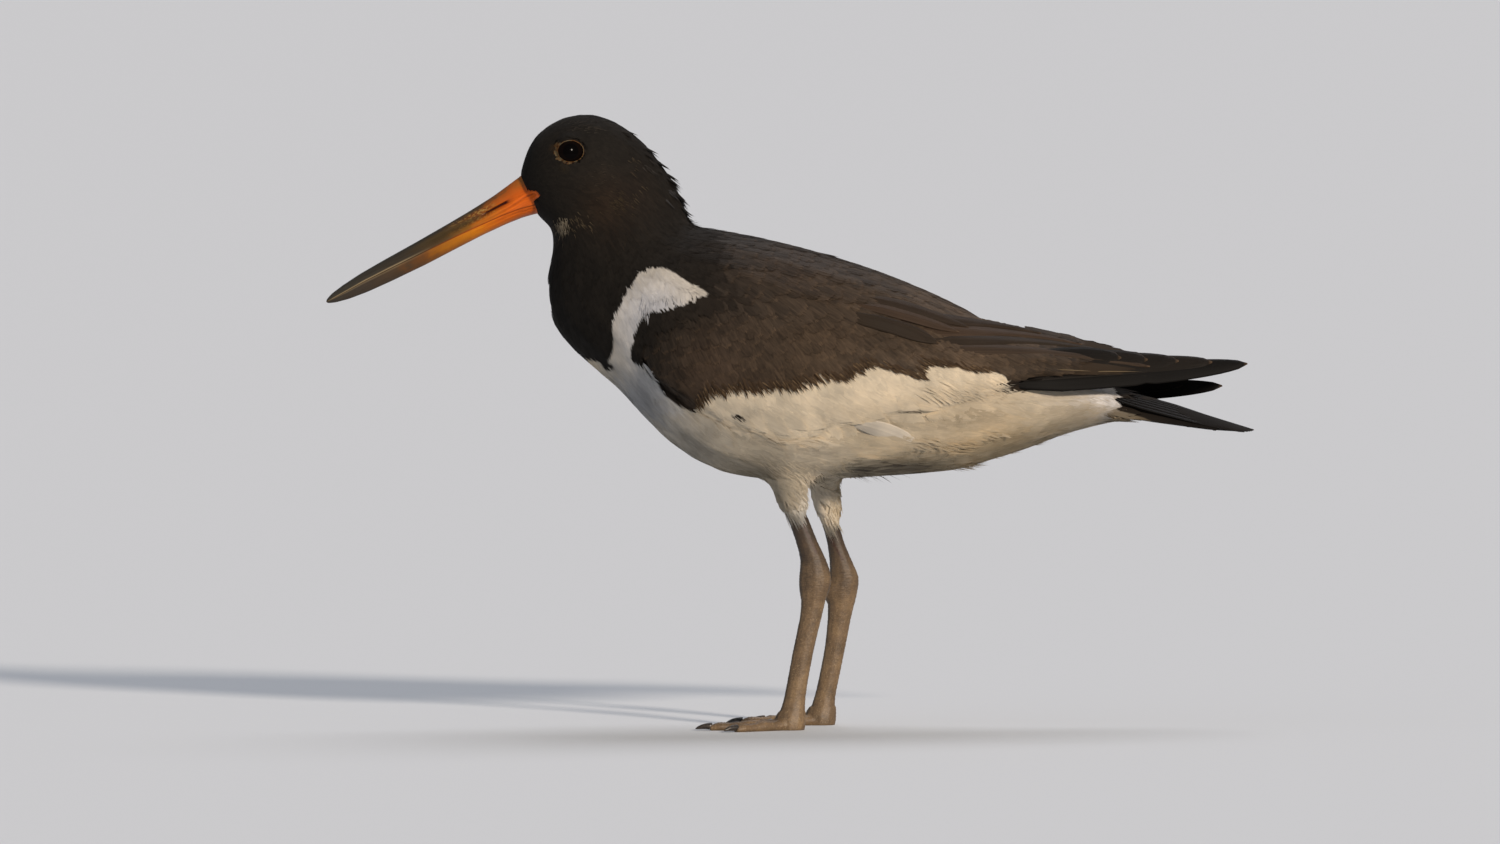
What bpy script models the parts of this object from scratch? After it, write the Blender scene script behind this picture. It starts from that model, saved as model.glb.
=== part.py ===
"""A life-size standing oystercatcher, still, as closed solids: head, bill, eyes, neck, trunk, folded wings,
tail, thighs, shanks, feet and claws. The bird faces -X with its left side towards -Y, and stands on z = 0.
"""

import math

import bmesh
import bpy
from mathutils import Matrix, Vector

MM = 0.001  # every size below is in millimetres

# Driving dimensions.
GAP = 0.3  # clearance between neighbouring solids
MOST_MITRE = 3.0  # a sharp edge of a cutter grows by at most this many gaps
LEFT, RIGHT = -1, 1  # the bird's left side lies at -Y
EYE_CENTRE = (-85.8, 12.1, 225.0)
EYE_RADIUS = (7.0, 5.0, 7.0)  # the ball is flatter from side to side
WING_PIVOT = (-50.0, 150.0)  # x and z of the bend of the wing
RIGHT_WING_DROOP = 1.0  # degrees, about the bend
RIGHT_PRIMARY_DROOP = 1.3  # the same, for the flight feathers
RIGHT_TUCK, RIGHT_SPREAD = 8.0, 6.5  # how far the right flight feathers are drawn in, and fanned down
ANKLE_Y, HIP_Y = 17.0, 15.5
TOE_WIDTH, TOE_HEIGHT = 6.2, 5.0
SOLE_SINK = 0.5  # how far the round toes reach below the floor before they are cut flat
CLAW_LENGTH = 5.2

# The body from the edge of the bill to the root of the tail. Each row is one section: the x and z of its
# upper point, the x and z of its lower point, its half width and its squareness (2 is an ellipse).
BODY_ROWS = (
    (-105.5, 215.2, -98.8, 200.4, 6.8, 2.0),  # feather edge at the bill
    (-103.6, 222.3, -95.9, 197.6, 10.8, 2.0),  # lores
    (-99.2, 231.0, -94.0, 196.0, 14.4, 2.0),  # forehead
    (-88.4, 238.0, -93.2, 194.4, 17.0, 2.1),  # eye
    (-76.0, 238.9, -92.8, 192.2, 18.0, 2.1),  # crown
    (-64.8, 234.0, -92.6, 188.8, 18.2, 2.1),
    (-55.2, 225.6, -93.2, 183.6, 18.2, 2.0),  # nape
    (-47.0, 214.6, -94.8, 176.6, 19.2, 2.0),
    (-41.8, 203.5, -95.2, 167.5, 22.5, 2.0),  # base of the neck
    (-38.8, 196.4, -92.5, 157.5, 27.5, 2.1),
    (-30.0, 194.6, -84.0, 147.2, 33.5, 2.2),  # mantle and upper breast
    (-18.0, 192.4, -67.0, 132.3, 39.0, 2.3),
    (-4.0, 189.3, -48.0, 112.5, 43.0, 2.4),
    (15.0, 184.2, -25.0, 99.2, 44.5, 2.4),  # keel
    (35.0, 177.7, 5.0, 96.8, 44.0, 2.4),
    (53.0, 170.4, 38.0, 98.5, 41.0, 2.3),
    (68.0, 163.2, 64.0, 100.6, 35.5, 2.2),
    (80.0, 154.8, 82.0, 106.2, 28.5, 2.2),  # vent
    (98.0, 144.0, 98.0, 111.6, 20.5, 2.2),
    (112.0, 137.6, 112.0, 116.4, 16.0, 2.2),
    (124.0, 132.8, 124.0, 119.3, 13.5, 2.2),  # root of the tail
)
HEAD_END, NECK_END = 6.5, 9.5  # where the head meets the neck, and the neck the trunk, in rows
BODY_POINTS, BODY_STEPS = 20, 2  # points round a section, and sections from one row to the next

# A folded wing. Each row is x, then the half width and height of its lower edge, the half width at
# mid height, the half width and height of its upper edge, and its thickness.
WING_ROWS = (
    (-61.0, 31.0, 143.5, 31.5, 31.5, 151.0, 2.0),  # bend of the wing
    (-56.0, 34.5, 137.5, 36.0, 34.5, 158.5, 5.0),
    (-46.0, 38.0, 131.5, 41.5, 32.5, 166.5, 7.0),
    (-32.0, 40.0, 124.5, 45.2, 32.0, 171.5, 8.0),
    (-14.0, 40.0, 116.0, 47.4, 31.5, 173.5, 8.5),
    (4.0, 40.0, 113.5, 48.2, 30.0, 172.0, 8.5),
    (22.0, 41.0, 118.5, 47.7, 27.5, 169.5, 8.0),
    (42.0, 41.0, 123.5, 44.2, 22.5, 166.3, 7.0),
    (62.0, 37.5, 127.5, 37.7, 16.5, 162.5, 6.0),
    (80.0, 32.0, 133.5, 28.5, 9.0, 159.0, 5.0),
    (96.0, 26.5, 138.0, 21.0, 3.8, 155.8, 4.0),  # tertials, which roof the rump
    (111.0, 22.5, 138.0, 16.5, 2.4, 152.4, 3.5),
    (126.0, 18.5, 137.8, 14.0, 2.4, 148.8, 3.0),
    (139.0, 14.5, 138.8, 11.5, 4.5, 145.8, 2.2),
    (146.0, 11.5, 141.2, 10.5, 8.5, 143.8, 1.2),  # tip of the longest tertial
)
# The flight feathers that show below and behind the tertials, as rows of the same kind.
PRIMARY_ROWS = (
    (76.0, 28.0, 129.8, 25.0, 21.0, 142.0, 2.0),
    (90.0, 25.5, 131.8, 20.5, 15.5, 143.5, 2.0),
    (105.0, 22.0, 133.4, 16.5, 11.5, 144.0, 2.0),
    (120.0, 18.5, 134.9, 13.5, 8.5, 143.5, 2.0),
    (135.0, 15.5, 136.9, 11.5, 7.0, 144.2, 2.0),
    (148.0, 13.5, 138.6, 10.5, 6.5, 145.4, 2.0),
    (160.0, 12.0, 139.4, 9.0, 6.5, 144.9, 1.8),
    (170.0, 9.8, 140.5, 8.2, 6.8, 143.8, 1.5),
    (178.2, 8.0, 141.7, 7.5, 7.2, 142.7, 1.0),  # wing tip
)
BLADE_POINTS = 7  # points along each face of a wing section

# The tail: x, height of its upper ridge, height of its underside, half width, and how far its sides droop.
TAIL_ROWS = (
    (124.3, 132.6, 119.4, 13.5, 5.0),
    (136.0, 130.0, 119.2, 15.5, 5.0),
    (150.0, 126.2, 117.6, 17.0, 4.2),
    (163.0, 121.8, 116.0, 17.5, 2.6),
    (173.0, 118.6, 115.4, 16.0, 1.4),
    (178.5, 116.8, 115.2, 11.0, 0.6),
    (181.0, 115.9, 115.1, 5.0, 0.2),
)

# The bill along its length from the gape: distance, then heights of the culmen, the cutting edge and the
# gonys over the straight line from gape to tip, and the half width at the cutting edge.
BILL_ROWS = (
    (-2.3, 11.7, -0.2, -3.9, 6.3),  # against the head
    (4.0, 10.4, 0.3, -3.1, 5.7),
    (10.0, 9.2, 0.9, -2.8, 5.1),
    (20.0, 7.9, 1.6, -2.8, 4.4),
    (30.0, 6.9, 1.8, -3.2, 3.9),
    (45.0, 5.6, 1.2, -3.9, 3.3),
    (60.0, 4.5, 0.7, -4.1, 2.7),
    (70.0, 3.6, 0.3, -4.0, 2.3),
    (78.0, 2.4, -0.3, -3.4, 1.9),
    (84.0, 1.1, -0.6, -2.3, 1.4),
    (86.3, 0.1, -0.7, -1.5, 0.9),
)
BILL_BASE = (-103.1, 203.4)  # x and z of the gape
BILL_TIP = (-180.6, 167.5)

# Each leg: x, z, half length and half width of its sections, from the sole up to the belly.
LEFT_LEG = {
    "tarsus": (
        (-0.4, 7.3, 4.8, 3.4),
        (0.3, 11.0, 4.2, 2.8),
        (1.3, 17.0, 3.9, 2.7),
        (3.7, 30.0, 3.9, 2.7),
        (6.8, 44.0, 4.1, 2.9),
        (7.7, 50.0, 4.6, 3.3),
    ),
    "shank": (
        (7.75, 50.3, 4.6, 3.3),
        (8.3, 55.0, 5.9, 4.0),
        (8.5, 60.0, 6.1, 4.3),
        (7.8, 66.0, 4.9, 3.8),
        (5.3, 73.0, 4.1, 3.2),
        (2.7, 80.0, 3.9, 3.0),
        (0.9, 84.2, 3.9, 3.0),
    ),
    "thigh": (
        (0.8, 84.5, 4.4, 3.5),
        (-0.5, 90.0, 5.7, 5.3),
        (-1.4, 96.0, 7.8, 7.6),
        (-0.8, 103.0, 11.0, 10.0),
        (1.0, 112.0, 13.0, 11.0),
    ),
}
RIGHT_LEG = {
    "tarsus": (
        (13.6, 7.3, 4.5, 3.4),
        (14.3, 11.0, 4.0, 2.8),
        (15.6, 17.0, 3.8, 2.7),
        (18.2, 30.0, 3.9, 2.7),
        (19.8, 41.0, 4.4, 2.9),
        (20.6, 47.0, 5.0, 3.4),
    ),
    "shank": (
        (20.65, 47.3, 5.1, 3.4),
        (20.5, 52.5, 6.4, 4.0),
        (21.7, 58.0, 5.6, 4.1),
        (20.5, 64.0, 4.3, 3.6),
        (18.7, 70.5, 3.3, 3.0),
        (17.2, 76.0, 3.1, 2.8),
        (16.6, 78.2, 3.3, 2.8),
    ),
    "thigh": (
        (16.3, 78.5, 3.7, 3.3),
        (15.6, 84.0, 4.4, 4.0),
        (14.6, 90.0, 5.4, 5.2),
        (13.8, 97.0, 7.4, 7.4),
        (14.8, 104.0, 10.6, 10.0),
        (17.0, 112.0, 12.5, 11.0),
    ),
}
FOOT_CENTRE = {LEFT: (-1.6, 18.0), RIGHT: (12.4, 18.0)}  # x, and distance from the midline
LEG_POINTS, TOE_POINTS, CLAW_POINTS = 12, 8, 8

# The three forward toes: length without the claw, and degrees outward from straight ahead.
TOES = {"inner": (22.0, -26.0), "middle": (31.0, 4.0), "outer": (26.0, 34.0)}
WEB_REACH = 0.42  # how far the web between the middle and outer toes goes along them

parts = bpy.data.collections.new("oystercatcher")
cutters = bpy.data.collections.new("cutters")


def clear_scene():
    """Empties the scene and links the two collections."""
    for obj in list(bpy.data.objects):
        bpy.data.objects.remove(obj)
    for collection in (parts, cutters):
        bpy.context.scene.collection.children.link(collection)
    cutters.hide_render = True


def finish(name, hex_colour, roughness):
    """A Principled material of one sRGB colour."""
    channels = [int(hex_colour[i : i + 2], 16) / 255 for i in (0, 2, 4)]
    linear = [c / 12.92 if c <= 0.04045 else ((c + 0.055) / 1.055) ** 2.4 for c in channels]
    material = bpy.data.materials.new(name)
    material.use_nodes = True
    shader = material.node_tree.nodes["Principled BSDF"]
    shader.inputs["Base Color"].default_value = (*linear, 1)
    shader.inputs["Roughness"].default_value = roughness
    shader.inputs["Metallic"].default_value = 0
    return material


def add(name, bm, material):
    """Makes an object of the mesh, in metres and in triangles, smooth except at sharp edges."""
    bmesh.ops.recalc_face_normals(bm, faces=bm.faces)
    bmesh.ops.triangulate(bm, faces=bm.faces, quad_method="SHORT_EDGE")
    bmesh.ops.scale(bm, vec=(MM, MM, MM), verts=bm.verts)
    mesh = bpy.data.meshes.new(name)
    bm.to_mesh(mesh)
    bm.free()
    mesh.materials.append(material)
    mesh.shade_smooth()
    mesh.set_sharp_from_angle(angle=math.radians(50))
    obj = bpy.data.objects.new(name, mesh)
    parts.objects.link(obj)
    return obj


def spline(rows, at):
    """The row at a fractional index, on a Catmull-Rom curve through the rows."""
    i = min(int(at), len(rows) - 2)
    t = at - i
    before, start = rows[max(i - 1, 0)], rows[i]
    end, after = rows[i + 1], rows[min(i + 2, len(rows) - 1)]
    return [
        b + t / 2 * (c - a + t * (2 * a - 5 * b + 4 * c - d + t * (3 * (b - c) + d - a)))
        for a, b, c, d in zip(before, start, end, after)
    ]


def resampled(rows, steps, first=0.0, last=None):
    """Rows at an even spacing of 1 / steps between two indices, both of them included."""
    last = len(rows) - 1 if last is None else last
    inner = [i / steps for i in range(len(rows) * steps) if first + 0.1 < i / steps < last - 0.1]
    return [spline(rows, at) for at in (first, *inner, last)]


def loft(name, rings, material):
    """A closed solid through rings of as many points each, with flat ends."""
    bm = bmesh.new()
    loops = [[bm.verts.new(p) for p in ring] for ring in rings]
    for one, other in zip(loops, loops[1:]):
        for k, vertex in enumerate(one):
            bm.faces.new((vertex, one[k - 1], other[k - 1], other[k]))
    bm.faces.new(loops[0])
    bm.faces.new(loops[-1])
    return add(name, bm, material)


def superellipse(angle, power):
    """A point on a unit superellipse: (sideways, upwards)."""
    side, up = math.sin(angle), math.cos(angle)
    reach = (abs(side) ** power + abs(up) ** power) ** (-1 / power)
    return side * reach, up * reach


def body_ring(row):
    """The points of one body section, which stands on the line from its lower to its upper point."""
    top, bottom = Vector((row[0], 0, row[1])), Vector((row[2], 0, row[3]))
    middle, half = (top + bottom) / 2, (top - bottom) / 2
    ring = []
    for k in range(BODY_POINTS):
        side, up = superellipse(math.tau * k / BODY_POINTS, row[5])
        ring.append(middle + half * up + Vector((0, row[4] * side, 0)))
    return ring


def body_part(name, first, last, material):
    """The body between two rows. A cut end is drawn back by half the gap."""
    rings = [body_ring(row) for row in resampled(BODY_ROWS, BODY_STEPS, first, last)]
    for end, inward in ((0, 1), (-1, -1)):
        ring = rings[end]
        across = (ring[0] - ring[BODY_POINTS // 2]).cross(Vector((0, 1, 0))).normalized()
        aim = across if across.x * inward > 0 else -across
        rings[end] = [p + aim * GAP / 2 for p in ring]
    return loft(name, rings, material)


def blade_ring(row, side):
    """A wing section: out along its outer face from the lower to the upper edge, and back inside."""
    x, low_y, low_z, mid_y, up_y, up_z, thickness = row
    outer, inner = [], []
    for k in range(BLADE_POINTS):
        v = k / (BLADE_POINTS - 1)
        y = low_y * (1 - v) * (1 - 2 * v) + mid_y * 4 * v * (1 - v) + up_y * v * (2 * v - 1)
        slope = low_y * (4 * v - 3) + mid_y * (4 - 8 * v) + up_y * (4 * v - 1)
        inward = Vector((0, -(up_z - low_z), slope)).normalized()
        point = Vector((x, y, low_z + v * (up_z - low_z)))
        swell = 0.35 + 0.65 * math.sin(math.pi * v) ** 0.5
        outer.append(point)
        inner.append(point + inward * thickness * swell)
    return [Vector((p.x, side * p.y, p.z)) for p in outer + inner[::-1]]


def fanned(rows):
    """The rows of the flight feathers drawn in towards the body, with their lower edge fanned down."""
    first, last = rows[0][0], rows[-1][0]
    return [
        (
            x - RIGHT_TUCK,
            low_y,
            low_z - RIGHT_SPREAD * math.sin(math.pi * (x - first) / (last - first)),
            *others,
        )
        for x, low_y, low_z, *others in rows
    ]


def blade(name, rows, side, droop, material):
    """A folded wing's solid, turned down about the bend of the wing by droop degrees."""
    pivot = Vector((WING_PIVOT[0], 0, WING_PIVOT[1]))
    turn = Matrix.Rotation(math.radians(droop), 3, "Y")
    rings = [blade_ring(row, side) for row in rows]
    return loft(name, [[pivot + turn @ (p - pivot) for p in ring] for ring in rings], material)


def tail_ring(row):
    """A tail section: an arched upper face with drooping sides over a flatter underside."""
    x, top, bottom, half_width, droop = row
    ring = []
    for k in range(BODY_POINTS):
        side, up = superellipse(math.tau * k / BODY_POINTS, 2.3)
        z = (top + bottom) / 2 + up * (top - bottom) / 2 - droop * side * side * (up > -0.5)
        ring.append(Vector((x, side * half_width, max(z, bottom))))
    return ring


def bill_ring(row, upper):
    """Half a bill section, from cutting edge to ridge and back, in the bill's own line."""
    along, culmen, edge, gonys, half_width = row
    start, tip = Vector((BILL_BASE[0], 0, BILL_BASE[1])), Vector((BILL_TIP[0], 0, BILL_TIP[1]))
    forward = (tip - start).normalized()
    upward = Vector((0, 1, 0)).cross(forward)
    height = culmen - edge - GAP / 2 if upper else gonys - edge + GAP / 2
    base = edge + GAP / 2 if upper else edge - GAP / 2
    ring = []
    for k in range(13):
        angle = math.pi * k / 12
        side = math.cos(angle) * (1 - 0.22 * math.sin(angle))
        up = base + height * math.sin(angle) ** 0.9
        ring.append(start + forward * along + upward * up + Vector((0, half_width * side, 0)))
    return ring


def leg_part(name, rows, side, material):
    """A limb of level oval sections. It moves in towards the hip above the ankle."""
    rings = []
    for x, z, long_half, wide_half in resampled(rows, 2):
        y = side * (ANKLE_Y + (HIP_Y - ANKLE_Y) * max(0, z - 60) / 50 + max(0, 60 - z) / 60)
        turn = [math.tau * k / LEG_POINTS for k in range(LEG_POINTS)]
        rings.append(
            [Vector((x + long_half * math.cos(a), y + wide_half * math.sin(a), z)) for a in turn]
        )
    return loft(name, rings, material)


def toe_rings(length, degrees, side):
    """Round sections along one toe, which swells a little at each joint and sinks into the floor."""
    heading = Matrix.Rotation(math.radians(degrees) * -side, 3, "Z") @ Vector((-1, 0, 0))
    across = Vector((0, 0, 1)).cross(heading)
    centre = Vector((FOOT_CENTRE[side][0], side * FOOT_CENTRE[side][1], 0))
    rings = []
    for k in range(9):
        t = k / 8
        pads = 1 + 0.08 * math.sin(math.tau * 2.5 * t)
        width = TOE_WIDTH * (1 - 0.36 * t) * pads
        height = TOE_HEIGHT * (1 - 0.40 * t) * pads
        middle = centre + heading * length * t + Vector((0, 0, height / 2 - SOLE_SINK))
        turn = [math.tau * j / TOE_POINTS for j in range(TOE_POINTS)]
        rings.append(
            [
                middle + across * math.cos(a) * width / 2 + Vector((0, 0, math.sin(a) * height / 2))
                for a in turn
            ]
        )
    return rings, heading, across, centre


def foot(name, side, skin, horn):
    """Three toes, the hub they leave and the web between two of them, cut flat, with three claws."""
    x, y = FOOT_CENTRE[side]
    hub_rows = ((x, -3 * SOLE_SINK, 5.6, 4.6), (x, 3.0, 6.2, 4.6), (x + 1.0, 7.0, 5.2, 3.4))
    hub = []
    for cx, z, long_half, wide_half in resampled(hub_rows, 2):
        turn = [math.tau * k / LEG_POINTS for k in range(LEG_POINTS)]
        hub.append(
            [
                Vector((cx + long_half * math.cos(a), side * y + wide_half * math.sin(a), z))
                for a in turn
            ]
        )
    solid = loft(name, hub, skin)
    tips = {}
    for toe, (length, degrees) in TOES.items():
        rings, heading, across, centre = toe_rings(length, degrees, side)
        join(solid, loft("toe_tool", rings, skin), "UNION")
        tips[toe] = centre + heading * length
        claw(f"claw_{toe}_{side_name(side)}", tips[toe], heading, across, horn)
    join(solid, web(tips, side, skin), "UNION")
    floor = box("floor_tool", (-60, -60, -20), (60, 60, 0))
    join(solid, floor, "DIFFERENCE")
    return solid


def web(tips, side, skin):
    """The small web between the bases of the middle and outer toes, with a hollow front edge."""
    hub = Vector((FOOT_CENTRE[side][0], side * FOOT_CENTRE[side][1], 0))
    middle = hub + (tips["middle"] - hub) * WEB_REACH
    outer = hub + (tips["outer"] - hub) * WEB_REACH
    edge = [middle.lerp(outer, 0.06 + 0.22 * k) for k in range(5)]
    hollow = [p.lerp(hub, 0.22 * math.sin(math.pi * k / 4)) for k, p in enumerate(edge)]
    low, high = Vector((0, 0, -2 * SOLE_SINK)), Vector((0, 0, 1.6))
    corners = (hub.lerp(hollow[2], 0.2), *hollow)
    return loft("web_tool", [[p + lift for p in corners] for lift in (low, high)], skin)


def claw(name, start, heading, across, horn):
    """A short blunt claw that curves down to the floor ahead of its toe."""
    rings = []
    for k in range(5):
        t = k / 4
        radius = 1.25 * (1 - t) ** 0.7 + 0.25
        middle = start + heading * (GAP + 0.35 + CLAW_LENGTH * t) + Vector((0, 0, 1.75 - 1.0 * t * t))
        turn = [math.tau * j / CLAW_POINTS for j in range(CLAW_POINTS)]
        rings.append(
            [
                middle + across * math.cos(a) * radius + Vector((0, 0, math.sin(a) * radius))
                for a in turn
            ]
        )
    return loft(name, rings, horn)


def box(name, low, high):
    """A box between two corners, as a tool."""
    bm = bmesh.new()
    bmesh.ops.create_cube(bm, size=1)
    size = Vector(high) - Vector(low)
    bmesh.ops.scale(bm, vec=size, verts=bm.verts)
    bmesh.ops.translate(bm, vec=Vector(low) + size / 2, verts=bm.verts)
    return add(name, bm, bpy.data.materials["tool"])


def eye(side, material):
    """An eyeball, flattened from side to side."""
    bm = bmesh.new()
    bmesh.ops.create_uvsphere(bm, u_segments=16, v_segments=10, radius=1)
    bmesh.ops.scale(bm, vec=EYE_RADIUS, verts=bm.verts)
    x, y, z = EYE_CENTRE
    bmesh.ops.translate(bm, vec=(x, side * y, z), verts=bm.verts)
    return add(f"eye_{side_name(side)}", bm, material)


def side_name(side):
    return "left" if side == LEFT else "right"


def join(solid, tool, operation):
    """Adds a Boolean of the tool to the solid, and moves the tool out of the render."""
    parts.objects.unlink(tool)
    cutters.objects.link(tool)
    tool.hide_render = True
    tool.display_type = "WIRE"
    modifier = solid.modifiers.new(tool.name, "BOOLEAN")
    modifier.operation = operation
    modifier.object = tool


def grown(obj):
    """A copy of the solid, larger by the gap all round, to cut its neighbour with."""
    graph = bpy.context.evaluated_depsgraph_get()
    mesh = bpy.data.meshes.new_from_object(obj.evaluated_get(graph))
    bm = bmesh.new()
    bm.from_mesh(mesh)
    bm.normal_update()
    for vertex in bm.verts:
        vertex.co += vertex.normal * GAP * MM * min(vertex.calc_shell_factor(), MOST_MITRE)
    bm.to_mesh(mesh)
    bm.free()
    tool = bpy.data.objects.new(obj.name + "_tool", mesh)
    parts.objects.link(tool)
    return tool


def cut(solid, *neighbours):
    """Takes each neighbour, with the gap round it, out of the solid."""
    for neighbour in neighbours:
        join(solid, grown(neighbour), "DIFFERENCE")


clear_scene()
finish("tool", "808080", 0.5)
black = finish("black_plumage", "1f1b18", 0.6)
brown = finish("brown_plumage", "342c25", 0.6)
white = finish("white_plumage", "cfc4b2", 0.8)
orange = finish("orange_bill", "b8621c", 0.4)
dusky = finish("dusky_bill", "8a5a24", 0.4)
grey_skin = finish("leg_skin", "6b5442", 0.6)
claw_horn = finish("claw_horn", "2b2420", 0.4)
eye_gloss = finish("eye_gloss", "120c08", 0.05)

head = body_part("head", 0, HEAD_END, black)
neck = body_part("neck", HEAD_END, NECK_END, black)
trunk = body_part("trunk", NECK_END, len(BODY_ROWS) - 1, white)
tail = loft("tail", [tail_ring(row) for row in resampled(TAIL_ROWS, 1)], black)
loft("bill_upper", [bill_ring(row, True) for row in BILL_ROWS], orange)
loft("bill_lower", [bill_ring(row, False) for row in BILL_ROWS], dusky)

for side, leg in ((LEFT, LEFT_LEG), (RIGHT, RIGHT_LEG)):
    name = side_name(side)
    cut(head, eye(side, eye_gloss))
    if side == LEFT:
        wing = blade("wing_left", WING_ROWS, side, 0, brown)
        primaries = blade("primaries_left", PRIMARY_ROWS, side, 0, black)
    else:
        wing = blade("wing_right", WING_ROWS, side, RIGHT_WING_DROOP, brown)
        primaries = blade("primaries_right", fanned(PRIMARY_ROWS), side, RIGHT_PRIMARY_DROOP, black)
    cut(primaries, wing)
    thigh = leg_part(f"thigh_{name}", leg["thigh"], side, white)
    cut(trunk, wing, primaries, thigh)
    leg_part(f"shank_{name}", leg["shank"], side, grey_skin)
    leg_part(f"tarsus_{name}", leg["tarsus"], side, grey_skin)
    foot(f"foot_{name}", side, grey_skin, claw_horn)
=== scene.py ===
"""Looks of a standing young oystercatcher, a life-size still model: skin, feathers, bill, eyes, legs and claws."""

import math

import bmesh
import bpy
import numpy as np
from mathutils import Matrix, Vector
from mathutils.bvhtree import BVHTree


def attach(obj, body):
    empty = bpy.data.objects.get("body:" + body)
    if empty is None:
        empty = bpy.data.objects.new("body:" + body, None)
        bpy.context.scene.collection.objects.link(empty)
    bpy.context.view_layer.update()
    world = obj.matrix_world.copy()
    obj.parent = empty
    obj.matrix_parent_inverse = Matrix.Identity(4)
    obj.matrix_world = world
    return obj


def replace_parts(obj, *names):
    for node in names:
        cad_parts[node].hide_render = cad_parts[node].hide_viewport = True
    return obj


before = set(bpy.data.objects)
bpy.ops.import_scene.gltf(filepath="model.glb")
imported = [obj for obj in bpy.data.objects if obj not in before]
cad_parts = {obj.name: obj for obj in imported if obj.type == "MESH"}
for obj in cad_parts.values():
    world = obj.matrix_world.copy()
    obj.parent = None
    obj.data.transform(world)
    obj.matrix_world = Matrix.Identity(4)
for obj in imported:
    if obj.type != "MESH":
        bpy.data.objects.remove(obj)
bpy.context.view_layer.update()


# ------------------------------------------------------------
# The studio: a pale matt floor that runs out of sight, one broad warm light high on the right, a cool fill from
# the left, and a long lens 6 m away, level with the bird and turned a little towards its front.
MM = 0.001
VIEW_WIDTH = 585 * MM
VIEW_MIDDLE = Vector((-16 * MM, 0, 119.3 * MM))
CAMERA_DISTANCE = 6.0
CAMERA_AZIMUTH, CAMERA_ELEVATION = -3, 2
SENSOR = 36
FLOOR_REACH = 400.0
# Each light: azimuth and elevation it comes from in degrees, strength, colour, and how wide it looks in degrees.
LIGHTS = {
    "key light": (30, 21, 3.95, "#FFF1E2", 7),
    "fill light": (-62, 26, 0.2, "#DDE8FF", 60),
    "back light": (150, 60, 1.5, "#F4F2F6", 40)}
AIR_GLOW = 0.33


def linear(code):
    """A hex sRGB colour as the linear RGBA that Blender works in."""
    parts = [int(code[at:at + 2], 16) / 255 for at in (1, 3, 5)]
    return [part / 12.92 if part <= 0.04045 else ((part + 0.055) / 1.055) ** 2.4 for part in parts] + [1.0]


def add(tree, kind, *fed, output=None, stops=(), **settings):
    """Adds one node and gives back its named output, or its first. Kind is its type, and after a space its
    operation. Fed holds what its inputs get, a value or a socket, in their order, or by name in a dict. Stops are
    the places and colours of a colour ramp."""
    kind, _, operation = kind.partition(" ")
    families = ("ShaderNode",) if tree.type == "SHADER" else ("GeometryNode", "FunctionNode", "ShaderNode", "Node")
    node = tree.nodes.new(next(family + kind for family in families if hasattr(bpy.types, family + kind)))
    for name, value in (settings | {"operation": operation} if operation else settings).items():
        setattr(node, name, value)
    for place, _ in stops[1:-1]:
        node.color_ramp.elements.new(place)
    for stop, (place, code) in zip(node.color_ramp.elements if stops else (), stops):
        stop.position, stop.color = place, linear(code)
    used = [socket for socket in node.inputs if socket.enabled]
    named = fed[0] if fed and isinstance(fed[0], dict) else {}
    pairs = [(next(socket for socket in used if socket.name == name), value) for name, value in named.items()]
    for socket, value in pairs or zip(used, fed):
        if isinstance(value, bpy.types.NodeSocket):
            tree.links.new(value, socket)
        elif value is not None:
            socket.default_value = value
    return node.outputs[output] if output else next((socket for socket in node.outputs if socket.enabled), None)


def shown(name, mesh):
    """A new object at the origin that shows this mesh."""
    made = bpy.data.objects.new(name, mesh)
    bpy.context.scene.collection.objects.link(made)
    return made


def blank_material(name):
    """A material with no nodes yet, and its node tree."""
    material = bpy.data.materials.new(name)
    material.use_nodes = True
    material.node_tree.nodes.clear()
    return material, material.node_tree


def sky_direction(azimuth, elevation):
    """The unit vector towards a place in the sky in degrees: azimuth 0 is the camera's side, 90 the tail's."""
    azimuth, elevation = math.radians(azimuth), math.radians(elevation)
    flat = math.cos(elevation)
    return Vector((math.sin(azimuth) * flat, -math.cos(azimuth) * flat, math.sin(elevation)))


scene = bpy.context.scene
camera = shown("camera", bpy.data.cameras.new("camera"))
camera.data.sensor_width = SENSOR
camera.data.lens = SENSOR * CAMERA_DISTANCE / VIEW_WIDTH
camera.data.clip_end = 2 * FLOOR_REACH
towards = sky_direction(CAMERA_AZIMUTH, CAMERA_ELEVATION)
camera.location = VIEW_MIDDLE + towards * CAMERA_DISTANCE
camera.rotation_euler = towards.to_track_quat("Z", "Y").to_euler()
scene.camera = camera
scene.view_settings.view_transform = "Standard"
for name, (azimuth, elevation, strength, colour, width) in LIGHTS.items():
    lamp = bpy.data.lights.new(name, "SUN")
    lamp.energy = strength
    lamp.color = linear(colour)[:3]
    lamp.angle = math.radians(width)
    shown(name, lamp).rotation_euler = sky_direction(azimuth, elevation).to_track_quat("Z", "Y").to_euler()
world = bpy.data.worlds.new("studio air")
world.use_nodes = True
background = world.node_tree.nodes["Background"]
background.inputs["Color"].default_value = linear("#C9D0DA")
background.inputs["Strength"].default_value = AIR_GLOW
scene.world = world
mesh = bpy.data.meshes.new("floor")
corners = [(x * FLOOR_REACH, y * FLOOR_REACH, 0) for x, y in ((-1, -1), (1, -1), (1, 1), (-1, 1))]
mesh.from_pydata(corners, [], [(0, 1, 2, 3)])
material, tree = blank_material("pale matt floor paint")
add(tree, "OutputMaterial", add(tree, "BsdfPrincipled", {"Base Color": linear("#C6C9CC"), "Roughness": 0.9}))
mesh.materials.append(material)
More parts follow.
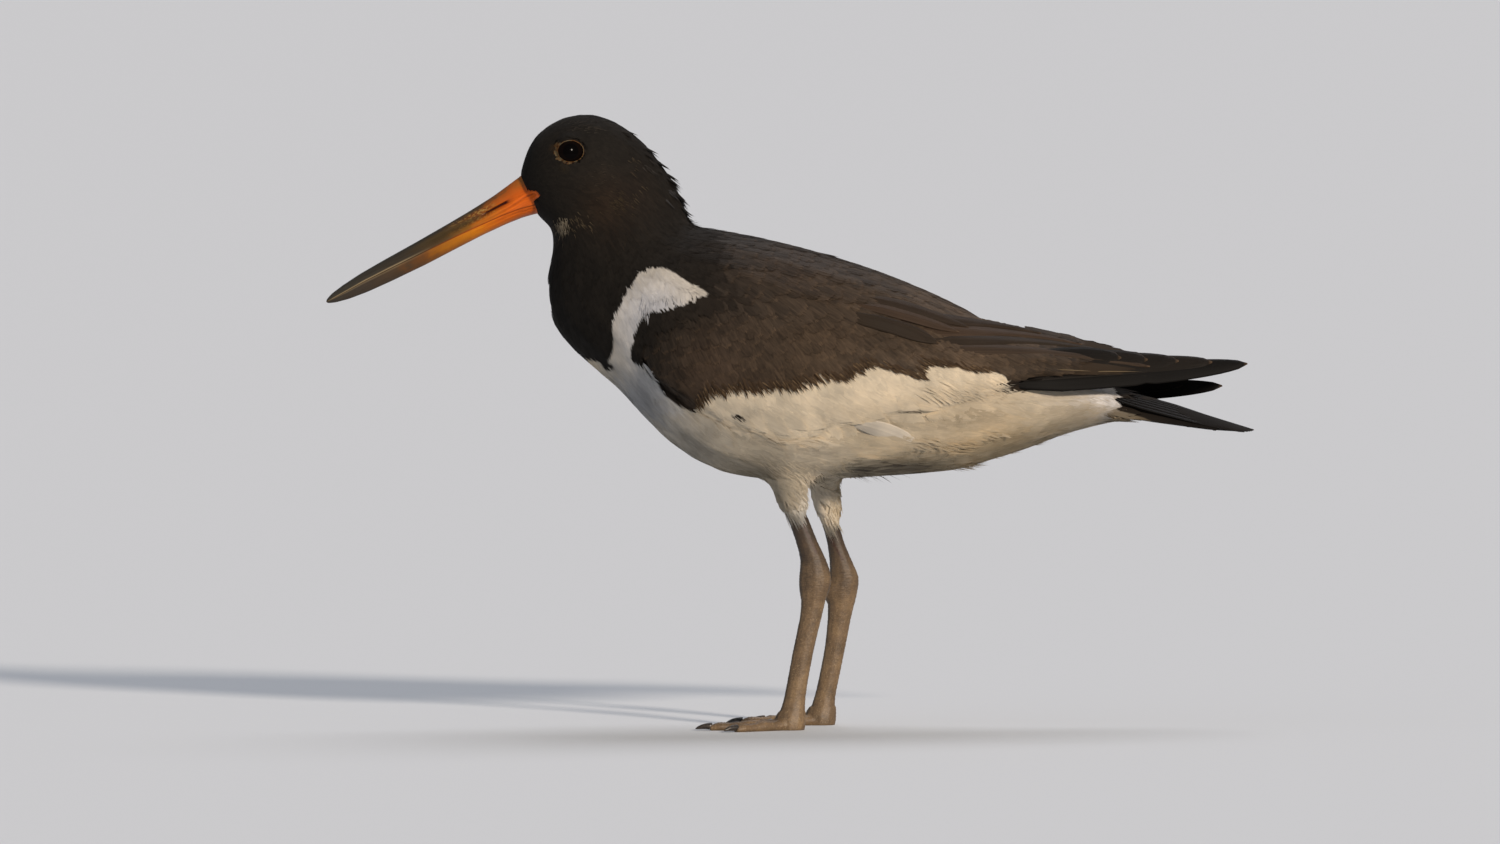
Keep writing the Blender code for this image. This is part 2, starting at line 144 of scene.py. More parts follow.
shown("floor", mesh)


# ------------------------------------------------------------
# The skin: one closed surface over head, neck, trunk, wings, thighs and tail root, which lies inside the feathers
# by the coat's depth. It carries what the feathers read: which way they lie, how long they are, and the markings.
REPLACED = ("head", "neck", "trunk", "tail", "wing_left", "wing_right", "thigh_left", "thigh_right")
JOIN_GROWTH = 0.35 * MM
SKIN_CELL = 1.3 * MM
SKIN_SMOOTHING, JOINT_SMOOTHING = 8, 70
# The middle of the right eye, the left one being its mirror image, and half the lids' opening along and up in mm.
EYE = Vector((-86.65 * MM, 12.1 * MM, 225.25 * MM))
EYE_OPENING = (5.05, 4.15)
UNDER_EYE = 205
# Feathers flow round the eye within this reach, how strongly, and are clear of it from so many openings on.
EYE_REACH, EYE_FLOW = 22, 7.0
EYE_CLEAR = (1.27, 1.4)
LID_HOLLOW = 3.0
THIGH_LENGTH, THIGH_DEPTH = 7.5, 0.7
# The bill's own line: where it starts, which way it runs and which way its ridge lies, as x and z.
BILL_START = np.array((-103.1, 203.4))
BILL_RUN = np.array((-0.9073, -0.4205))
BILL_RISE = np.array((-0.4205, 0.9073))
# Where the horn of the bill ends and the feathers begin: height above the bill's line and place along it, in mm.
HORN_UP = (-6.0, -4.75, -3.5, -2.3, -0.4, 0.65, 1.5, 2.2, 4.2, 5.9, 6.8, 9.2, 12.1)
HORN_END = (-1.3, -1.5, -2.4, -1.3, -0.4, -1.7, -4.4, -6.5, -5.6, -3.8, -2.0, -2.2, -2.8)
# How the coat lies, from bill to tail. Each row: x and z of a place in mm, the way the feathers point there as
# (x, z), their length in mm, and how deep the coat is in mm.
LIE = np.array([
    (-104, 222, .35, .93, 2.4, .45), (-96, 234, .8, .6, 3.2, .7), (-78, 239, 1, .05, 4.2, .9),
    (-60, 230, .78, -.62, 6.5, 1.1), (-47, 212, .6, -.8, 8.5, 1.4), (-99, 213, .85, .25, 2.3, .45),
    (-82, 209, .85, -.5, 4.4, .9), (-95, 198, .75, -.65, 3.0, .6), (-93, 186, .2, -1, 6.0, 1.1),
    (-68, 190, .35, -.94, 8.0, 1.4), (-90, 150, .35, -.93, 9.5, 1.7), (-70, 160, .3, -.95, 9.5, 1.7),
    (-60, 128, .72, -.7, 12, 1.9), (-20, 98, .98, -.2, 13, 2.0), (20, 98, 1, -.1, 14, 2.1),
    (-15, 112, .9, -.42, 14, 2.0), (20, 116, .95, -.3, 15, 2.1), (60, 104, 1, -.1, 16, 2.2),
    (60, 120, .97, -.25, 16, 2.0), (100, 125, 1, .02, 14, 1.5), (125, 122, .98, -.2, 7, 1.1),
    (150, 120, .97, -.22, 5, .7), (-60, 172, .55, -.83, 8, 1.5), (-30, 190, .95, -.3, 9.5, 1.2),
    (20, 182, .94, -.34, 11, 1.2), (60, 166, .93, -.36, 13, 1.2), (-50, 155, .35, -.94, 9, 1.2),
    (-22, 150, .42, -.9, 10, 1.2), (10, 152, .55, -.83, 11, 1.2), (40, 150, .78, -.63, 12, 1.2),
    (72, 148, .93, -.37, 12, 1.0), (110, 143, .97, -.24, 12, .8), (-22, 128, .7, -.7, 13, 1.4),
    (25, 128, .85, -.5, 14, 1.4)])
LIE_REACH = 9.0
# The outline of all that is white, seen from the side, as x and z in mm: the J on the shoulder, the bar along the
# folded wing and the whole underside, as far as the tail.
WHITE = np.array([
    (-95, 145.5), (-81, 143.4), (-78.4, 144.7), (-73.7, 142.4), (-71, 148.6), (-71.4, 159.1), (-68.5, 166),
    (-65, 172), (-61.2, 177.8), (-55, 180.6), (-50.5, 180.4), (-46.5, 178), (-42, 174.8), (-37, 172.4),
    (-34.3, 170.6), (-37, 168.8), (-44, 166.6), (-50, 164.6), (-55, 163.6), (-59.3, 163), (-62, 157),
    (-64.2, 149), (-64, 144.6), (-58.6, 141.6), (-54.6, 138), (-51.6, 131.5), (-44, 126.2), (-38.6, 123.4),
    (-39, 126.5), (-34.7, 131.6), (-24.2, 133.8), (-13.7, 133.4), (1.2, 134.9), (11.3, 138.1), (18.7, 137),
    (24, 141), (30, 142.6), (37, 141.4), (44.9, 138.4), (48.5, 138.4), (50.5, 143), (57.3, 142.4),
    (67.9, 141.2), (76, 140), (84, 137), (80, 133), (79.6, 130.9), (100.2, 133), (117.8, 134.6), (126.8, 135),
    (127.2, 124), (137, 121.6), (140, 119.5), (140, 60), (-95, 60)])
# Dark ovals on the white: x, z, half length and half height in mm. The long thin last one is painted shadow, the
# dark slit where the bar's lower edge overhangs the flank.
DARK_OVALS = [(-22.6, 122.6, 2.0, 1.2), (-72.5, 141.6, 2.2, 1.4), (44.9, 124.6, 7.4, .7)]
# Rounded patches of colour, each: x, z, spread in mm, hex, and how far it replaces the ground colour.
DARK_GROUND = "#211D18"
DARK_PATCHES = [
    (-4, 176, 34, "#2B2521", .95), (40, 166, 34, "#2A241E", .95), (0, 150, 34, "#3E3226", .95),
    (-36, 146, 16, "#3C3026", .8), (60, 150, 34, "#4A3D30", .95), (44, 173, 14, "#43372B", .8),
    (110, 145, 30, "#342A20", .95), (-76, 206, 10, "#33261A", .8), (-66, 212, 10, "#281D15", .5),
    (-96, 228, 8, "#231F1A", .6), (160, 120, 24, "#100D0B", .9), (-47, 132, 9, "#362B21", .9),
    (-93.6, 225, 1.4, "#4A351A", .45), (-90.5, 219.3, 1.4, "#3A2E18", .4)]
PALE_GROUND = "#DCD1BC"
# Some of these patches are painted light and shade. Painted shade: the greys on the breast front and below it (x
# -68 and -50), the dull greys and browns along the belly's underside (x -26 to 88), between the legs (x 13 to 33)
# and under the tail (x 122 to 144). Painted light: the bright flank above the left thigh (3, 109) and the bright
# left thigh (3, 88). The tans of the lower flank and vent (x 20 to 100) are partly staining and partly painted
# shade.
PALE_TONES_LIGHT_AND_SHADE = [
    (-58, 165, 20, "#C9CACE", 1), (-88, 195, 6, "#A99C88", 1), (-60, 140, 14, "#DCDCDC", .8),
    (112, 131, 15, "#FAFBFF", 1), (3, 109, 13, "#F2E8D4", .9), (3, 88, 9, "#FFFDF8", 1),
    (20, 104, 22, "#C9B795", .5), (62, 108, 22, "#C2AD88", .75), (100, 119, 16, "#A99A80", .8),
    (136, 120, 12, "#5E5240", .9), (-68, 133, 13, "#A3A5A9", .9), (-50, 113, 14, "#ABA79F", .85),
    (-26, 99, 12, "#857B6A", .85), (-6, 96, 9, "#877C68", .6), (42, 97, 10, "#8A7B60", .8),
    (70, 100, 12, "#94866C", .7), (88, 110, 8, "#887C66", .6), (13, 100.5, 4, "#3E3528", .9),
    (23, 101, 5, "#4A4033", .9), (33, 99, 6, "#4A4033", .8), (122, 119, 12, "#7A6A4E", .9),
    (144, 119, 14, "#40372A", .95)]
# Soft folds of the plumage. Each: how far the feathers stand out just above it and sink in just below it, how wide
# it is, and its line as x and z, all in mm.
FOLDS = [
    (.5, .1, 4.0, ((-64, 140), (-54, 132), (-41, 124), (-32, 120))),
    (1.5, 1.3, 5.0, ((-40, 125), (-24.2, 118.6), (-15.6, 116.6), (-5.5, 112.6), (3.1, 113), (12.5, 118.4),
                     (21.8, 118.6), (36.7, 122.6), (52.3, 123.8), (67.5, 128))),
    (.3, .7, 4.0, ((-52, 121), (-38, 112), (-22, 106.5), (-8, 99))),
    (.5, .9, 3.5, ((20, 108), (34, 105.5), (50, 108.5), (62, 107), (78, 112), (92, 116))),
    (.4, .7, 3.0, ((-58, 176), (-46, 172), (-34, 168.5), (-20, 166)))]
# Rounded swellings: x, z, half width and half height in mm, and how far they stand out in mm.
SWELLINGS = [(-4, 102, 9, 9, 1.6), (-30, 108, 14, 9, .8), (40, 112, 18, 7, .7), (-52, 172, 9, 6, .8),
             (-20, 180, 18, 8, .6)]
# The outline of the folded wing's coverts, as x and z in mm.
WING_COVER = np.array([
    (-63, 146), (-62, 158), (-52, 165), (-36, 170), (-14, 174), (10, 173), (40, 168), (62, 163), (80, 158),
    (100, 154), (126, 149), (140, 145), (126, 142), (98, 142.5), (82, 139), (74, 133), (62, 126), (42, 121),
    (22, 116.5), (4, 112), (-14, 114), (-30, 119), (-45, 127), (-56, 136)])


def smoothstep(low, high, value):
    share = np.clip((value - low) / (high - low), 0, 1)
    return share * share * (3 - 2 * share)


def unit(rows):
    return rows / np.maximum(np.linalg.norm(rows, axis=1, keepdims=True), 1e-9)


def folded(side):
    """How far the folds and swellings move the surface outward at each (x, z), in mm."""
    moved = np.zeros(len(side))
    for above, below, width, line in FOLDS:
        line = np.array(line, float)
        nearest, signed = np.full(len(side), 99.0), np.zeros(len(side))
        for start, end in zip(line[:-1], line[1:]):
            span = end - start
            share = np.clip(((side - start) @ span) / (span @ span), 0, 1)
            gap = side - start - share[:, None] * span
            reach = np.linalg.norm(gap, axis=1)
            signed = np.where(reach < nearest, np.sign(gap[:, 1]) * reach, signed)
            nearest = np.minimum(nearest, reach)
        ends = smoothstep(line[0, 0] - 2, line[0, 0] + 8, side[:, 0])
        ends *= smoothstep(line[-1, 0] + 2, line[-1, 0] - 8, side[:, 0])
        rise = above * np.exp(-((signed - 1.5) / width) ** 2) * (signed > -1)
        sink = below * np.exp(-((signed + 1.2) / (0.6 * width)) ** 2)
        moved += (rise - sink) * ends
    for x, z, half_width, half_height, height in SWELLINGS:
        gap = np.linalg.norm((side - (x, z)) / (half_width, half_height), axis=1)
        moved += height * np.exp(-gap ** 2)
    return moved


def modified(made, *changes):
    """Gives the object its mesh changed by these modifiers, each a kind and its settings, and drops them."""
    for kind, settings in changes:
        change = made.modifiers.new(kind, kind)
        for name, value in settings.items():
            setattr(change, name, value)
    mesh = bpy.data.meshes.new_from_object(made.evaluated_get(bpy.context.evaluated_depsgraph_get()))
    made.modifiers.clear()
    made.data = mesh
    return made


def merged_nodes(name, nodes):
    """One object with copies of these CAD nodes, their loose triangles merged."""
    gathered = bmesh.new()
    for node in nodes:
        gathered.from_mesh(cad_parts[node].data)
    bmesh.ops.remove_doubles(gathered, verts=gathered.verts, dist=0.001 * MM)
    mesh = bpy.data.meshes.new(name)
    gathered.to_mesh(mesh)
    gathered.free()
    return shown(name, mesh)


def one_surface(name, nodes, cell, growth, smoothing):
    """A closed surface over the nodes: grown to bridge the cuts between them, remeshed as one and smoothed."""
    return modified(
        merged_nodes(name, nodes), ("DISPLACE", {"strength": growth, "mid_level": 0}),
        ("REMESH", {"mode": "VOXEL", "voxel_size": cell}), ("SMOOTH", {"factor": 0.5, "iterations": smoothing}))


def read_vectors(mesh, what="vertices", field="co"):
    """Vertex places or normals of a mesh as an array of rows."""
    values = np.empty(len(mesh.vertices) * 3)
    getattr(mesh, what).foreach_get(field, values)
    return values.reshape(-1, 3)


def store(mesh, **kept):
    """Keeps values for each vertex under their names: numbers, directions of three parts or colours of four."""
    for name, values in kept.items():
        values = np.asarray(values, float)
        kind, field = {1: ("FLOAT", "value"), 3: ("FLOAT_VECTOR", "vector"), 4: ("FLOAT_COLOR", "color")}[
            values.shape[1] if values.ndim > 1 else 1]
        mesh.attributes.new(name, kind, "POINT").data.foreach_set(field, np.ascontiguousarray(values).ravel())


def smoothed(mesh, material):
    """The mesh shaded smooth, in this material alone."""
    mesh.polygons.foreach_set("use_smooth", np.ones(len(mesh.polygons), bool))
    mesh.materials.clear()
    mesh.materials.append(material)
    return mesh


def inside(points, outline):
    """How far each (x, z) point lies inside a closed outline, below zero outside it."""
    start, end = outline, np.roll(outline, -1, axis=0)
    span = end - start
    away = points[:, None] - start
    share = np.clip((away * span).sum(2) / (span ** 2).sum(1), 0, 1)
    gap = np.linalg.norm(away - share[..., None] * span, axis=2).min(1)
    x, z = points[:, :1], points[:, 1:]
    straddles = (start[:, 1] > z) != (end[:, 1] > z)
    crossing = start[:, 0] + (z - start[:, 1]) * span[:, 0] / np.where(span[:, 1] == 0, 1e-9, span[:, 1])
    return np.where((straddles & (x < crossing)).sum(1) % 2 == 1, gap, -gap)


def beyond_the_horn(side):
    """How far each (x, z) in mm lies behind the edge of the bill's horn, below zero on the horn."""
    away = side - BILL_START
    return np.interp(away @ BILL_RISE, HORN_UP, HORN_END) - away @ BILL_RUN


def patched(side, ground, patches):
    """The ground colour with each round patch laid over it, as linear RGBA rows."""
    colour = np.tile(linear(ground), (len(side), 1))
    for x, z, spread, code, strength in patches:
        gap = np.linalg.norm(side - (x, z), axis=1)
        weight = strength * np.exp(-(gap / spread) ** 2)[:, None]
        colour = colour * (1 - weight) + np.array(linear(code)) * weight
    return colour


skin = one_surface("skin", REPLACED + ("eye_left", "eye_right"), SKIN_CELL, JOIN_GROWTH, SKIN_SMOOTHING)
# The creases where the thighs leave the belly are filled, as the feathers there bridge them.
side = read_vectors(skin.data)[:, [0, 2]] / MM
joint = skin.vertex_groups.new(name="joint")
share = smoothstep(86, 92, side[:, 1]) * smoothstep(112, 103, side[:, 1]) * (np.abs(side[:, 0] - 7) < 34)
for vertex in np.flatnonzero(share > 0):
    joint.add([int(vertex)], float(share[vertex]), "REPLACE")
modified(skin, ("SMOOTH", {"vertex_group": "joint", "factor": 0.5, "iterations": JOINT_SMOOTHING}))
skin.vertex_groups.clear()
bpy.context.view_layer.objects.active = skin
skin.select_set(True)
bpy.ops.object.mode_set(mode="EDIT")
bpy.ops.mesh.select_all(action="SELECT")
bpy.ops.uv.smart_project(angle_limit=math.radians(66), island_margin=0.004)
bpy.ops.object.mode_set(mode="OBJECT")
mesh = skin.data
mesh.uv_layers[0].name = "OFBake"
places = read_vectors(mesh)
outward = read_vectors(mesh, "vertex_normals", "vector")
side = places[:, [0, 2]] / MM
x, z = side.T
# The lie is blended by nearness from the table. It flows round the eye, with no feather pointing across it, and
# down the thighs.
weight = 1 / (np.linalg.norm(side[:, None] - LIE[:, :2], axis=2) ** 2 + LIE_REACH ** 2) ** 2
table = (weight @ LIE[:, 2:]) / weight.sum(1, keepdims=True)
lie = unit(table[:, :2])
from_eye = side - np.array((EYE.x, EYE.z)) / MM
reach = np.maximum(np.linalg.norm(from_eye, axis=1, keepdims=True), 6.0)
way = from_eye / reach
bent = lie + (EYE_FLOW / reach) ** 2 * (lie - 2 * (lie * way).sum(1, keepdims=True) * way)
lie = unit(np.where(reach < EYE_REACH, bent, lie))
thigh = smoothstep(96, 88, z) * (x > -14) * (x < 34)
lie = unit(lie * (1 - thigh[:, None]) + np.array((.12, -1)) * thigh[:, None])
length = table[:, 2] * (1 - thigh) + THIGH_LENGTH * thigh
depth = (table[:, 3] * (1 - thigh) + THIGH_DEPTH * thigh) * (1 - 0.5 * smoothstep(132, 165, x))
# Seen from above and from the front the lie leaves the middle line a little.
flow = np.stack([lie[:, 0], 0.12 * outward[:, 1], lie[:, 1]], axis=1)
flow = unit(flow - outward * (flow * outward).sum(1, keepdims=True))
from_eye = np.where(z > UNDER_EYE, np.linalg.norm(from_eye, axis=1), 99)
length = length * (0.7 + 0.3 * smoothstep(6, 14, from_eye))
white = inside(side, WHITE)
for *middle, half_length, half_height in DARK_OVALS:
    oval = (1 - np.linalg.norm((side - middle) / (half_length, half_height), axis=1)) * half_height
    white = np.minimum(white, -oval)
# Painted shade: where a fold sinks in below its rolled edge, the pale plumage is painted darker and browner.
fold_shade = np.clip(-0.2 * folded(side), 0, 0.5)[:, None]
pale = patched(side, PALE_GROUND, PALE_TONES_LIGHT_AND_SHADE) * (1 - fold_shade) + np.array(linear("#6E5734")) * fold_shade
store(mesh, out=outward, lie=flow, length=length * MM, depth=depth * MM, white=white, pale=pale,
      dark=patched(side, DARK_GROUND, DARK_PATCHES))
# The tracts of the coat, each 1 where its feathers grow. No feather grows on the eye or under the bill's horn.
width = np.abs(places[:, 1]) / MM
opening = np.linalg.norm((side - (EYE.x / MM, EYE.z / MM)) / EYE_OPENING, axis=1)
opening = np.where(z > UNDER_EYE, opening, 9)
before = np.clip((EYE.x / MM - x) / from_eye, 0, 1) ** 2
clear = smoothstep(*EYE_CLEAR, opening - 0.1 * before) * ((beyond_the_horn(side) > 0.2) | (x > -94))
on_head = (z > 196 + 0.25 * (x + 70)) & (x < -45)
on_face = on_head & ((x < -88) | (from_eye < 13))
# The black neck goes over into the brown back through a band where the feathers of both grow.
to_back = smoothstep(-44, -26, x + 0.35 * (z - 180)) * (z > 148)
on_wing = (inside(side, WING_COVER) > 0) & (width > 4)
free = ~on_head & ~on_wing
on_neck = free * (x < -24) * (white < 6) * ((z > 148) | (x < -36)) * (1 - to_back)
on_back = free * ((z > 150) | ((x > 96) & (z > 133))) * (x < 115) * (x > -46) * to_back
free = free & ((x < 76) | (z < 133.5))
on_belly = free & (on_neck == 0) & (on_back == 0) & (thigh < 0.5) & (x < 127) & ((x < 104) | (z < 133))
on_bar = on_wing & (white > -1)
tracts = {"face": on_face, "head": on_head & ~on_face, "neck": on_neck, "back": on_back, "bar": on_bar,
          "wing": on_wing & ~on_bar & (x < 104), "breast": on_belly & (x < 12), "belly": on_belly & (x >= 12),
          "thigh": (thigh >= 0.3) & (z > 82)}
store(mesh, fringe=np.where(on_wing, 1.0, 0.15 + 0.6 * to_back),
      **{"on_" + tract: grows * clear for tract, grows in tracts.items()})
# The skin is thin where the wing ends, and round the eye, and hollow behind the eyelids.
depth = depth * (1 - 0.75 * smoothstep(66, 88, x) * (z > 128)) * (0.3 + 0.7 * smoothstep(1.0, 2.4, opening))
depth = depth + LID_HOLLOW * smoothstep(1.22, 1.02, opening)
places += outward * ((folded(side) * smoothstep(8, 16, width) - depth) * MM)[:, None]
mesh.vertices.foreach_set("co", places.ravel())
mesh.update()


def plumage(name, fringe, streak, roughness, glow, gloss):
    """Soft matt feather keratin. Each feather is a shade of its own, with paler worn edges, a fine lie of barbs and
    a faint silky sheen."""
    material, tree = blank_material(name)
    along, across, tint, white, fringed = (
        add(tree, "Attribute", attribute_name=name, output="Fac")
        for name in ("along", "across", "tint", "white", "fringe"))
    dark, pale = (add(tree, "Attribute", attribute_name=name, output="Color") for name in ("dark", "pale"))
    white = add(tree, "MapRange", white, -0.25, 0.25)
    rim = add(tree, "MapRange", add(tree, "Math ABSOLUTE", across), 0.8, 1.05)
    rim = add(tree, "Math MULTIPLY", rim, add(tree, "MapRange", along, 0.4, 0.95))
    rim = add(tree, "Math MAXIMUM", rim, add(tree, "MapRange", along, 0.8, 1.0))
    rim = add(tree, "Math MULTIPLY", add(tree, "Math MULTIPLY", rim, fringed), fringe)
    dark = add(tree, "Mix", rim, dark, linear("#6B5641"), data_type="RGBA")
    colour = add(tree, "Mix", white, dark, pale, data_type="RGBA")
    # White feathers differ less from one another than dark ones do.
    darkest = add(tree, "MapRange", white, 0, 1, 0.78, 0.93)
    lightest = add(tree, "MapRange", white, 0, 1, 1.2, 1.05)
    shade = add(tree, "MapRange", tint, 0, 1, darkest, lightest)
    # The streaks are bundles of barbs: single ones, a tenth of a millimetre apart, are too fine to show.
    barb = add(tree, "CombineXYZ", across, along, tint)
    barb = add(tree, "Mapping", {"Vector": barb, "Scale": (5.0, 0.9, 40.0)})
    barb = add(tree, "TexNoise", barb, 2.4, 3.0, output="Fac")
    lines = add(tree, "MapRange", barb, 0.3, 0.7, 1 - streak, 1 + streak)
    # Sun and salt water have bleached the plumage unevenly, in patches about a centimetre across.
    worn = add(tree, "TexNoise", add(tree, "TexCoord", output="Object"), 75.0, 3.0, output="Fac")
    worn = add(tree, "MapRange", worn, 0.32, 0.68, 0.88, 1.12)
    shade = add(tree, "Math MULTIPLY", shade, add(tree, "Math MULTIPLY", worn, lines))
    colour = add(tree, "VectorMath SCALE", colour, shade)
    bump = add(tree, "Bump", {"Height": barb, "Strength": 0.35, "Distance": 0.0002})
    surface = add(tree, "BsdfPrincipled", {
        "Base Color": colour, "Roughness": roughness, "IOR": 1.45, "Specular IOR Level": gloss,
        "Sheen Weight": gloss / 8, "Sheen Roughness": 0.5, "Normal": bump})
    # A vane is thin enough for some of the light to pass through it.
    through = add(tree, "BsdfTranslucent", colour, bump)
    add(tree, "OutputMaterial", add(tree, "MixShader", glow, surface, through))
    return material


SKIN_PLUMAGE = plumage("down and skin under the feathers", 0.0, 0.05, 0.85, 0.0, 0.1)
SOFT_PLUMAGE = plumage("soft body feathers", 0.2, 0.07, 0.75, 0.5, 0.22)
VANE_PLUMAGE = plumage("firm vaned feathers", 0.3, 0.32, 0.6, 0.15, 0.1)
smoothed(skin.data, SKIN_PLUMAGE)
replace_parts(skin, *REPLACED)
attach(skin, "root")


# ------------------------------------------------------------
# The coat: thousands of small feathers, each a fan of flat barbs, that lie along the body like shingles. Each is
# set in the skin at its root and rises through the coat's depth to its tip.
# The breadth of a feather's patch on the skin's unwrap, how far a barb may stand beyond the skin before it is cut
# off, and how many roots are tried for each place that one may take.
OFBAKE_PATCH = 0.003
LEAVING = 3.0 * MM
TRIAL_DENSITY = 3.0


def barb_fan(name, barbs, rings, outline, overlap, rounded, frayed, camber, seed, own=0.6, uneven=0.15,
             mark=0.65, curl=0.0):
    """A feather 1 long and 1 wide at the origin, pointing along Y, as flat barbs side by side with free tips.
    The outline gives half its width at even steps from root to tip; rounded and frayed say how the barbs end.
    Own says how much of the markings each place takes from under itself, and not from under the barb at the share
    mark of its length, and uneven how far the barbs differ in that."""
    draw = np.random.default_rng(seed)
    places, faces, along, across, to_tip = [], [], [], [], []
    for barb in range(barbs):
        sideways = 2 * barb / (barbs - 1) - 1
        reach = 1 - rounded * abs(sideways) ** 2.2 - draw.uniform(0, frayed)
        marked = reach * draw.uniform(mark - uneven, mark + uneven)
        first = len(places)
        for ring in range(rings + 1):
            share = ring / rings * reach
            half = np.interp(share, np.linspace(0, 1, len(outline)), outline)
            thick = overlap * half / barbs
            middle = sideways * (half - thick)
            height = curl * share ** 2 - camber * (2 * middle) ** 2 + 0.003 * (barb % 2)
            for edge in (0,) if ring == rings else (-thick, thick):
                places.append((middle + edge, share, height))
                along.append(share)
                across.append(sideways + edge * 0.5)
                to_tip.append((0, (1 - own) * (marked - share), 0))
        faces += [(at, at + 1, at + 3, at + 2) for at in range(first, first + 2 * rings - 2, 2)]
        faces.append(tuple(range(len(places) - 3, len(places))))
    mesh = bpy.data.meshes.new(name)
    mesh.from_pydata(places, [], faces)
    store(mesh, along=along, across=across, to_tip=to_tip)
    return bpy.data.objects.new(name, mesh)


def new_tree(name, sockets):
    """An empty geometry tree with these named inputs and one geometry output, and its input node."""
    tree = bpy.data.node_groups.new(name, "GeometryNodeTree")
    for label, kind in sockets.items():
        tree.interface.new_socket(label, in_out="INPUT", socket_type="NodeSocket" + kind)
    tree.interface.new_socket("Geometry", in_out="OUTPUT", socket_type="NodeSocketGeometry")
    return tree, tree.nodes.new("NodeGroupInput").outputs


# What a tree passes on to the one that lays the feathers.
PASSED = {"Feather": "Object", "Turn": "Float", "Root height": "Float", "Tip height": "Float",
          "Softness": "Float", "Free": "Float", "Dark only": "Float", "Material": "Material"}


